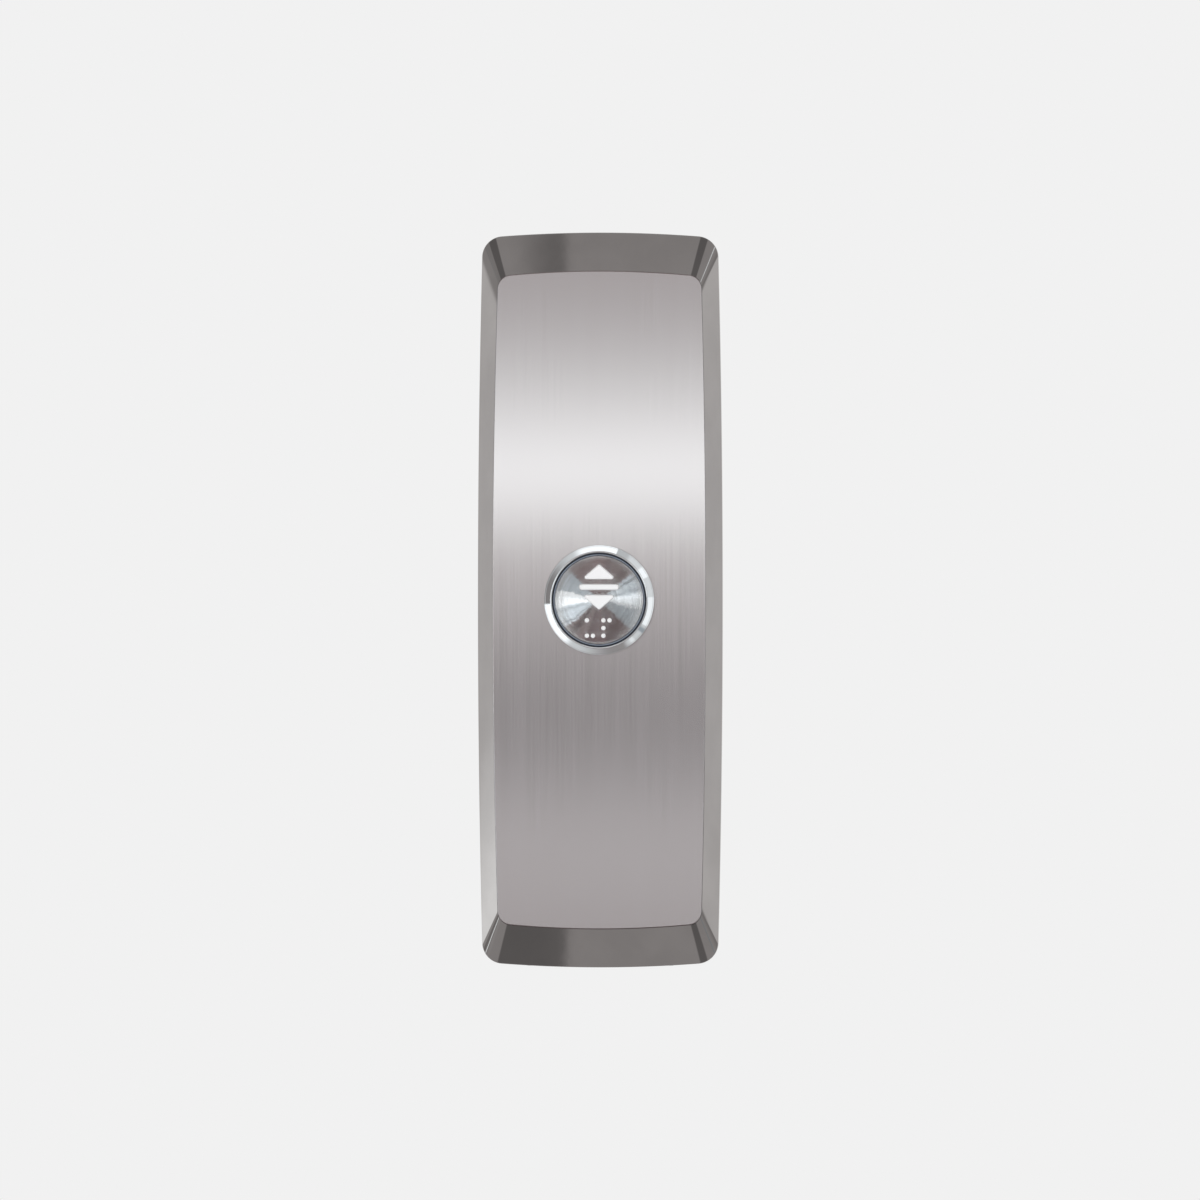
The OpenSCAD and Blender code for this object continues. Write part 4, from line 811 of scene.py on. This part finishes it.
class LIFT_OT_bezel(bpy.types.Operator):
    """Chrome bezel and the dark light ring inside it"""

    bl_idname = "lift_panel.bezel"
    bl_label = "Bezel and light ring"

    def execute(self, context):
        b, finishes = context.scene.lift_button, context.scene.lift_finishes
        seat, flange = b.cap_top - 0.25 * MM, b.bezel - 0.4 * MM
        step, under, foot = 17.35 * MM, 25.25 * MM, 24.1 * MM
        profile = [[b.bezel_in, seat], [step, seat], [step, under], [flange, under],
                   [flange, foot], [b.bezel, foot], [b.bezel, b.bezel_edge],
                   [b.bezel_in + 0.45 * MM, b.bezel_top - 0.04 * MM], [b.bezel_in + 0.2 * MM, b.bezel_top],
                   [b.bezel_in, b.bezel_top - 0.14 * MM]]
        radii = np.array([0.08, 0.08, 0.08, 0.08, 0.05, 0.05, 0.12, 0.06, 0.05, 0.05]) * MM
        ring = mesh_object("chrome_bezel", *shell(eased(turned(profile, 256), radii)))
        dressed(ring, chrome_trim(finishes), "panel", "bezel_ring")
        low, seat, top, brim = 22.2 * MM, 25.2 * MM, 25.7 * MM, 17.25 * MM
        profile = [[b.halo_in, low], [b.halo_out, low], [b.halo_out, seat], [brim, seat],
                   [brim, top], [b.halo_in, top]]
        halo = mesh_object("light_ring", *shell(eased(turned(profile, 256), [0.1 * MM] * 6)))
        dressed(halo, dark_ring(finishes), "panel", "halo_ring")
        return {"FINISHED"}


def symbol_rings(b, grow):
    """Outlines of the up arrow, the bar and the down arrow, grown outwards by a distance.

    An arrow's half base grows by the distance times (slant + half base) over its height, and its
    tip by the distance times the slant over the half base, so that each side moves out alike.
    """
    slant = math.hypot(b.arrow_w / 2, b.arrow_h)
    half = b.arrow_w / 2 + grow * (slant + b.arrow_w / 2) / b.arrow_h
    tip = b.arrow_h + 2 * grow * slant / b.arrow_w
    arrow = rounded_polygon([[-half, -grow], [half, -grow], [0, tip]], 0.5 * MM + grow)
    w, h = b.bar_w / 2 + grow, b.bar_h / 2 + grow
    bar = rounded_polygon([[-w, -h], [w, -h], [w, h], [-w, h]], 0.75 * MM + grow)
    up = arrow + [0, b.arrow_gap]
    down = (arrow * [1, -1] - [0, b.arrow_gap])[::-1]
    return [ring + [0, b.symbol_y] for ring in (up, bar, down)]


def dot_places(b):
    """Places of the seven dots: columns and rows of two braille cells."""
    cells = (((0, 0), (0, 2), (1, 2)), ((0, 0), (1, 0), (0, 1), (0, 2)))
    return [(-0.3 * MM + (k - 0.5) * b.cell + (column - 0.5) * b.dot_x, -b.row - row * b.dot_y)
            for k, cell in enumerate(cells) for column, row in cell]


def cap_holes(b):
    """Rings, from the cap's face inwards, of each hole through it: arrows, bar and dots."""
    top, under = b.cap_top, b.cap_top - b.cap_thick
    gap, ease = 0.05 * MM, 0.1 * MM
    walls = [(gap + ease * 1.8, top), (gap + ease, top), (gap + 0.3 * ease, top - 0.25 * ease),
             (gap, top - ease), (gap, under + ease), (gap, under), (gap + ease, under)]
    families = [symbol_rings(b, g) for g, _ in walls]
    a = np.linspace(0, 2 * math.pi, 24, endpoint=False)[:, None]
    circle = np.hstack([np.cos(a), np.sin(a)])
    holes = [[level(family[k], z) for family, (_, z) in zip(families, walls)] for k in range(3)]
    return holes + [[level(place + circle * (b.dot / 3 + g), z) for g, z in walls]
                    for place in dot_places(b)]


class LIFT_OT_cap(bpy.types.Operator):
    """Spun cap with the symbols and the dots cut through it"""

    bl_idname = "lift_panel.cap"
    bl_label = "Button cap"

    def execute(self, context):
        b = context.scene.lift_button
        top, under, foot = b.cap_top, b.cap_top - b.cap_thick, b.cap_top - b.skirt
        inner = b.cap - b.cap_wall
        lip = np.array([[b.cap - b.chamfer, top], [b.cap, top - b.chamfer]])
        edge = eased(np.vstack([lip, [[b.cap, foot], [inner, foot], [inner, under]]]),
                     np.array([0.09, 0.09, 0.08, 0.08, 0.05]) * MM, 4)
        sweep = turned(np.vstack([[[b.cap - b.chamfer - 0.3 * MM, top]], edge[:-1],
                                  [[inner - 0.2 * MM, under]]]), 256)
        rows, sides = sweep.shape[:2]
        points = [sweep.reshape(-1, 3)]
        faces = [strip(rows, sides)]
        fronts, backs, start = [], [], rows * sides
        for hole in cap_holes(b):
            count = len(hole[0])
            points.append(np.vstack(hole))
            faces.append(strip(len(hole), count, start=start)[:, ::-1])
            fronts.append(np.arange(start, start + count))
            backs.append(np.arange(start + (len(hole) - 1) * count, start + len(hole) * count))
            start += len(hole) * count
        points = np.vstack(points)
        front_edge, back_edge = np.arange(sides), np.arange((rows - 1) * sides, rows * sides)
        for outer, inside, turn in ((front_edge, fronts, 1), (back_edge, backs, -1)):
            ids = np.concatenate([outer] + inside)
            flat = perforated(points[outer, :2], [points[ring, :2] for ring in inside])
            faces.append(ids[flat][:, ::turn])
        piece = mesh_object("spun_cap", points, self.agreeing(points, faces), sharp=math.radians(50))
        dressed(piece, spun_steel(context.scene.lift_finishes), "push_button", "button_cap")
        return {"FINISHED"}

    @staticmethod
    def agreeing(points, faces):
        """Faces of a closed solid, each turned so that it looks outwards."""
        mesh = bpy.data.meshes.new("turning")
        mesh.from_pydata(points, [], [row for block in faces for row in block.tolist()])
        skin = bmesh.new()
        skin.from_mesh(mesh)
        bmesh.ops.recalc_face_normals(skin, faces=skin.faces)
        result = [np.array([[v.index for v in face.verts]]) for face in skin.faces]
        skin.free()
        bpy.data.meshes.remove(mesh)
        return result


class LIFT_OT_symbols(bpy.types.Operator):
    """White arrows and bar standing out of the cap, and the domed dots"""

    bl_idname = "lift_panel.symbols"
    bl_label = "Symbols and dots"

    def execute(self, context):
        b, finishes = context.scene.lift_button, context.scene.lift_finishes
        lens = mesh_object("symbol_block", *joined(*self.blocks(b)))
        dressed(lens, white_lens(finishes), "push_button", "symbol_lens")
        pins = mesh_object("braille_dots", *joined(*self.domes(b)), sharp=math.radians(40))
        # The dots take the symbols' white material, painted glow included.
        dressed(pins, lens.data.materials[0], "push_button", "braille_pins")
        return {"FINISHED"}

    @staticmethod
    def blocks(b):
        """Arrows and bar as blocks with rounded rims, and the disc under the cap that carries them."""
        top, base = b.cap_top + b.symbol_rise, b.cap_top - b.cap_thick - 0.45 * MM
        ease = 0.16 * MM
        a = np.linspace(0, math.pi / 2, 6)
        crown = [(-ease * (1 - math.cos(t)), top - ease * (1 - math.sin(t))) for t in a]
        levels = [(0.0, base), (0.0, top - ease * 1.5)] + crown + [(-ease * 1.5, top)]
        families = [symbol_rings(b, g) for g, _ in levels]
        parts = []
        for k in range(3):
            rings = [level(family[k], z) for family, (_, z) in zip(families, levels)]
            centre = rings[0][:, :2].mean(0)
            shrunk = level(centre + (rings[-1][:, :2] - centre) * 0.4, top)
            poles = np.array([[*centre, base], [*centre, top]])
            parts.append(solid(rings + [shrunk], poles))
        seat, low, high = 14.35 * MM, 24.15 * MM, 24.95 * MM
        profile = [[seat - 0.3 * MM, low], [seat, low + 0.1 * MM],
                   [seat, high - 0.1 * MM], [seat - 0.3 * MM, high]]
        parts.append(solid(turned(profile, 128), np.array([[0, 0, low], [0, 0, high]])))
        return parts

    @staticmethod
    def domes(b):
        """Dots, each a stem in the cap under the top of a sphere.

        The sphere's radius is (half the dot's width squared + its height squared) over twice its height.
        """
        dome = arc_radius(b.dot / 2, b.dot_h)
        reach = math.asin(b.dot / 2 / dome)
        t = np.linspace(reach, 0, 9)[:-1]
        crown = np.stack([dome * np.sin(t), b.cap_top + b.dot_h - dome + dome * np.cos(t)], -1)
        stem = [[b.dot / 3, b.cap_top - b.cap_thick], [b.dot / 3, b.cap_top],
                [b.dot / 2 - 0.02 * MM, b.cap_top]]
        dots = []
        for place in dot_places(b):
            poles = np.array([[*place, b.cap_top - b.cap_thick], [*place, b.cap_top + b.dot_h]])
            dots.append(solid(turned(np.vstack([stem, crown]), 32, place), poles))
        return dots


class LIFT_OT_spring(bpy.types.Operator):
    """Return spring, coiled between its seats"""

    bl_idname = "lift_panel.spring"
    bl_label = "Return spring"

    def execute(self, context):
        b = context.scene.lift_button
        seat, rest, travel = 13.85 * MM, 7.5 * MM, 1.6 * MM
        # A helix that rises by one closed pitch in its first and last turn, and evenly between them.
        turn = np.linspace(0, b.turns, int(48 * b.turns) + 1)
        closed = 1.04 * b.wire
        rise = b.spring_len - b.wire - 0.1 * MM - 2 * closed
        z = (closed * (np.minimum(turn, 1) + np.maximum(turn - b.turns + 1, 0))
             + rise * np.clip(turn - 1, 0, b.turns - 2) / (b.turns - 2))
        angle = 2 * math.pi * turn
        path = np.stack([b.spring_r * np.cos(angle), b.spring_r * np.sin(angle),
                         seat + 0.05 * MM + b.wire / 2 + z], -1)
        piece = mesh_object("coil_spring", *swept(path, b.wire / 2, 12))
        finish = plated("spring_wire", (0.6, 0.6, 0.62), 0.25, 0.05)
        dressed(piece, finish, "panel", "return_spring")
        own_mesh(piece)
        return {"FINISHED"}


class LIFT_OT_harness(bpy.types.Operator):
    """Four coloured wires between the button's plug and the landing board's plug"""

    bl_idname = "lift_panel.harness"
    bl_label = "Harness wires"

    def execute(self, context):
        start, end = np.array([0, -18.35, 7.25]) * MM, np.array([-9, -36.2, 11.3]) * MM
        handle, tuck = np.array([0, 9, 0]) * MM, np.array([0, 1.8, 0]) * MM
        # A cubic curve whose handles leave both plugs square, with a straight end inside each plug.
        t = np.linspace(0, 1, 48)[:, None]
        bend = ((1 - t) ** 3 * start + 3 * t * (1 - t) ** 2 * (start - handle)
                + 3 * t ** 2 * (1 - t) * (end + handle) + t ** 3 * end)
        path = np.vstack([[start + tuck], bend, [end - tuck]])
        colours = {"red": (0.50, 0.02, 0.02), "black": (0.02, 0.02, 0.02),
                   "yellow": (0.75, 0.55, 0.04), "white": (0.80, 0.80, 0.78)}
        pitch, radius = 2.5 * MM, 0.65 * MM
        parts = [swept(path + [(k - 1.5) * pitch, 0, 0], radius) for k in range(4)]
        sizes = [sum(len(block) for block in faces) for _, faces in parts]
        piece = mesh_object("wire_bundle", *joined(*parts))
        finishes = [moulded(f"wire_{name}", colour, 0.36) for name, colour in colours.items()]
        dressed(piece, finishes[0], "panel", "harness_wires")
        for finish in finishes[1:]:
            piece.data.materials.append(finish)
        piece.data.polygons.foreach_set("material_index", np.repeat(np.arange(4), sizes).astype(np.int32))
        return {"FINISHED"}


class LIFT_OT_finishes(bpy.types.Operator):
    """Procedural materials of the construction nodes that are shown as they are"""

    bl_idname = "lift_panel.finishes"
    bl_label = "Finishes of the other parts"

    def execute(self, context):
        for node, finish in cad_finishes().items():
            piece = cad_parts[node]
            piece.data.materials.clear()
            piece.data.materials.append(finish)
        return {"FINISHED"}


def tones_ahead(f, z):
    """Tones of what lies straight ahead, by height: a bright band above and a dark one below."""
    band = f.between(z, 0.022, 0.115) * f.between(z, 0.12, 0.27, 1.0, 0.0, smooth=False) ** 1.5
    dip = f.between(z, -0.22, -0.1) * f.between(z, -0.09, 0.045, 1.0, 0.0)
    ahead = f.mixed((0.53, 0.523, 0.523), (0.278, 0.27, 0.27), dip)
    light = f.node("ShaderNodeVectorMath", {"operation": "SCALE"}, {0: (0.76, 0.84, 0.85), 3: band})
    return f.node("ShaderNodeVectorMath", {"operation": "ADD"}, {0: ahead, 1: light})


def tones_around(f, turn, bright, colour, cards):
    """Cards set round the axis before a ground of one tone.

    A card is (start, end, softness before, softness after, brightness, colour); its first four
    numbers are degrees, counted from the right through the top.
    """
    tone = scaled(colour, bright)
    for start, end, before, after, card_bright, card_colour in cards:
        card = f.between(turn, start - before, start) * f.between(turn, end, end + after, 1.0, 0.0)
        tone = f.mixed(tone, scaled(card_colour, card_bright, 9.0), card)
    return tone


def tones_of_rim(f, x, y, low):
    """Tones that the side bevels mirror, by the slant, with a dark line low on the left."""
    left = f.between(x, -0.3, 0.3, 1.0, 0.0)
    rim = f.mixed((0.44, 0.42, 0.415), (0.345, 0.33, 0.325), f.between(y, -0.3, -0.02))
    rim_left = f.mixed((0.36, 0.345, 0.34), (0.44, 0.42, 0.415), f.between(y, -0.46, -0.2))
    rim = f.mixed(rim, rim_left, left)
    line = f.between(y, -0.42, -0.34) * f.between(y, -0.2, -0.1, 1.0, 0.0)
    foot = f.mixed((0.47, 0.45, 0.445), (0.285, 0.27, 0.265), line)
    return f.mixed(rim, foot, left * low)


class LIFT_OT_stage(bpy.types.Operator):
    """Camera, pale floor and soft studio light"""

    bl_idname = "lift_panel.stage"
    bl_label = "Stage"

    def execute(self, context):
        stage = context.scene.lift_stage
        self.camera(context, stage)
        self.floor(context, stage)
        self.studio(context, stage)
        self.softboxes(context)
        context.scene.view_settings.view_transform = "Standard"
        return {"FINISHED"}

    @staticmethod
    def camera(context, stage):
        data = bpy.data.cameras.new("camera")
        data.lens = data.sensor_width * stage.distance / stage.view_width
        data.clip_end = 60.0
        camera = bpy.data.objects.new("camera", data)
        context.scene.collection.objects.link(camera)
        target = Vector((stage.aim_x, CREST.y, CREST.z))
        away = Vector((math.sin(stage.azimuth), -math.cos(stage.azimuth), 0.0))
        camera.location = target + away * stage.distance
        camera.rotation_euler = (target - camera.location).to_track_quat("-Z", "Y").to_euler()
        context.scene.camera = camera

    @staticmethod
    def floor(context, stage):
        """Round pale floor, seen from above only."""
        sides, radii = 64, (0.5, 1.5, 3.0)
        a = np.linspace(0, 2 * math.pi, sides, endpoint=False)
        rings = np.stack([r * np.stack([np.cos(a), np.sin(a)], -1) for r in radii])
        points = np.vstack([rings.reshape(-1, 2), [[0, 0]]])
        points = np.column_stack([points, np.full(len(points), stage.floor_z)])
        middle = fan(len(radii) * sides, np.arange(sides))
        faces = strip(len(radii), sides)[:, ::-1].tolist() + middle.tolist()
        mesh = bpy.data.meshes.new("floor")
        mesh.from_pydata(points, [], faces)
        floor = bpy.data.objects.new("floor", mesh)
        context.scene.collection.objects.link(floor)
        floor.visible_glossy = False
        f = material("floor_paper")
        grain = f.noise(f.place(), 30, detail=2)
        f.set(Base_Color=f.mixed((0.80, 0.80, 0.80), (0.84, 0.84, 0.84), grain), Roughness=0.9)
        under = f.node("ShaderNodeNewGeometry", output=6)
        clear = f.node("ShaderNodeBsdfTransparent")
        mix = f.node("ShaderNodeMixShader", {}, {0: under, 1: Signal(f, f.shader.outputs[0]), 2: clear})
        output = next(n for n in f.tree.nodes if n.type == "OUTPUT_MATERIAL")
        f.feed(output.inputs["Surface"], mix)
        mesh.materials.append(f.owner)

    @staticmethod
    def studio(context, stage):
        """Surroundings that the metal mirrors, by the direction in which it sees them.

        Ahead of the panel (the face's mirror image) they follow the height: a bright band above and a
        darker one below. Round that lie zones by the slant from straight ahead: inner cards for the
        spun cap, cards between for the end bevels, outer cards in a narrow ring for the bezel's cone,
        and a rim for the side bevels. Aside and behind the panel they are pale.
        """
        world = bpy.data.worlds.new("studio")
        context.scene.world = world
        f = Finish(world)
        towards = f.node("ShaderNodeTexCoord", output=0)
        x, y, z = (f.node("ShaderNodeSeparateXYZ", {}, {0: towards}, output=k) for k in range(3))
        # Degrees round the axis, from -30 to 330.
        turn = (z.math("ARCTAN2", x) / (2 * math.pi) + 1 / 12).math("FRACT") * 360 - 30
        warm, brown, wine = (1.0, 0.95, 0.94), (1.0, 0.76, 0.74), (1.0, 0.25, 0.32)
        cool, white = (0.90, 1.0, 1.07), (0.98, 1.01, 1.02)
        inner = tones_around(f, turn, 0.21, cool, [
            (-8, 11, 3, 2, 0.6, cool), (2, 7, 2, 3, 0.9, cool), (12, 43, 2, 2, 0.42, cool),
            (14, 17, 1, 2, 0.26, cool), (31, 34, 1, 1, 0.16, cool), (43, 136, 2, 3, 0.3, brown),
            (43, 70, 2, 20, 0.17, brown), (138, 150, 2, 1, 0.6, cool), (150, 168, 4, 1, 0.67, cool),
            (168.5, 178, 1, 2, 1.6, white), (178, 191, 2, 2, 2.1, white), (192, 222, 2, 3, 1.3, cool),
            (194.5, 197, 1, 1, 0.9, cool), (210.5, 212, 1, 1, 0.3, cool), (218, 252, 3, 4, 0.26, brown),
            (224, 232, 3, 3, 0.1, brown), (250, 315, 4, 3, 0.07, wine), (280, 314, 5, 4, 0.03, wine)])
        between = tones_around(f, turn, 0.44, warm, [
            (63, 80, 3, 3, 0.2, warm), (93.16, 93.5, 0.12, 2.3, 0.25, warm), (113, 131, 3, 4, 0.195, warm),
            (255, 266.84, 4, 0.12, 0.205, warm), (280, 296, 4, 4, 0.2, warm)])
        outer = tones_around(f, turn, 0.66, white, [
            (-28, 2, 4, 4, 1.03, white), (5, 54, 3, 4, 0.76, white), (27, 37, 2, 3, 1.1, white),
            (60, 70, 6, 1.5, 0.54, white), (71.5, 109, 1.5, 14, 1.2, white),
            (160, 183.5, 38, 0.5, 0.24, warm), (185, 226, 0.5, 12, 1.25, white),
            (285, 296, 45, 9, 0.3, warm), (307, 310, 2, 2, 0.86, white), (323, 325, 3, 4, 0.36, cool)])
        low = f.between(z, -0.03, -0.01, 1.0, 0.0)
        glow = f.between(x, -0.92, -0.62, 1.0, 0.0, smooth=False) * low
        aside = f.mixed((0.80, 0.78, 0.772), (0.67, 0.652, 0.646), f.between(y, 0.4, 0.8, smooth=False))
        aside = f.mixed(aside, (1.3, 1.3, 1.3), glow)
        tone = f.mixed(tones_ahead(f, z), inner, f.between(y, -0.945, -0.915))
        tone = f.mixed(tone, between, f.between(y, -0.6, -0.582))
        tone = f.mixed(tone, tones_of_rim(f, x, y, low), f.between(y, -0.47, -0.45))
        ring = (y + x * 0.0225 + 0.359).math("ABSOLUTE")
        tone = f.mixed(tone, outer, f.between(ring, 0.014, 0.024, 1.0, 0.0))
        tone = f.mixed(tone, aside, f.between(y + x * 0.07 + glow * 0.15, 0.17, 0.25))
        pale = (stage.backdrop,) * 3
        seen = f.node("ShaderNodeLightPath", output="Is Camera Ray")
        f.set(Color=f.mixed(tone, pale, seen), Strength=1.0)

    @staticmethod
    def softboxes(context):
        """Rectangular lamps that face the button.

        Each has its azimuth, elevation, width and height in degrees, then its radiance and colour.
        """
        boxes = {
            "strip_right": (45, -2, 34, 13, 2.6, (0.96, 1.0, 1.03)),
            "strip_left": (-45, 2, 34, 13, 2.6, (1.0, 1.0, 1.0)),
            "box_right": (48, 22, 24, 20, 1.6, (0.97, 1.0, 1.02)),
            "box_left": (-48, -22, 24, 20, 1.6, (0.97, 1.0, 1.02)),
            "back_left": (-140, 35, 40, 30, 1.6, (1.0, 1.0, 1.0)),
            "back_right": (130, 25, 40, 30, 1.2, (1.0, 1.0, 1.0)),
        }
        distance = 1.4
        for name, (azimuth, elevation, width, height, radiance, colour) in boxes.items():
            a, e = math.radians(azimuth), math.radians(elevation)
            place = Vector((math.sin(a) * math.cos(e), -math.cos(a) * math.cos(e), math.sin(e))) * distance
            lamp = bpy.data.lights.new(name, "AREA")
            lamp.shape = "RECTANGLE"
            lamp.size = 2 * distance * math.tan(math.radians(width / 2))
            lamp.size_y = 2 * distance * math.tan(math.radians(height / 2))
            lamp.energy = radiance * math.pi * lamp.size * lamp.size_y
            lamp.color = colour
            box = bpy.data.objects.new(name, lamp)
            box.location = CREST + place
            box.rotation_euler = (-place).to_track_quat("-Z", "Y").to_euler()
            box.visible_camera = box.visible_glossy = False
            context.scene.collection.objects.link(box)


class LIFT_PT_panel(bpy.types.Panel):
    """Lists the steps that dress the landing panel"""

    bl_idname = "LIFT_PT_panel"
    bl_label = "Landing panel"
    bl_space_type = "VIEW_3D"
    bl_region_type = "UI"
    bl_category = "Landing panel"

    def draw(self, context):
        for step in STEPS:
            self.layout.operator(step.bl_idname)
        for name in ("lift_cover", "lift_button", "lift_finishes", "lift_stage"):
            group = getattr(context.scene, name)
            column = self.layout.column(heading=name)
            for key in group.__annotations__:
                column.prop(group, key)


GROUPS = {"lift_cover": CoverSizes, "lift_button": ButtonSizes, "lift_finishes": Finishes,
          "lift_stage": StageSizes}
STEPS = (LIFT_OT_stage, LIFT_OT_cover, LIFT_OT_face, LIFT_OT_bezel, LIFT_OT_cap, LIFT_OT_symbols,
         LIFT_OT_spring, LIFT_OT_harness, LIFT_OT_finishes)


def register():
    for cls in (*GROUPS.values(), *STEPS, LIFT_PT_panel):
        bpy.utils.register_class(cls)
    for name, cls in GROUPS.items():
        setattr(bpy.types.Scene, name, PointerProperty(type=cls))


def unregister():
    for name in GROUPS:
        delattr(bpy.types.Scene, name)
    for cls in (LIFT_PT_panel, *reversed(STEPS), *GROUPS.values()):
        bpy.utils.unregister_class(cls)


def main():
    """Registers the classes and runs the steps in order."""
    register()
    for step in STEPS:
        group, name = step.bl_idname.split(".")
        getattr(getattr(bpy.ops, group), name)()


if __name__ == "__main__":
    main()
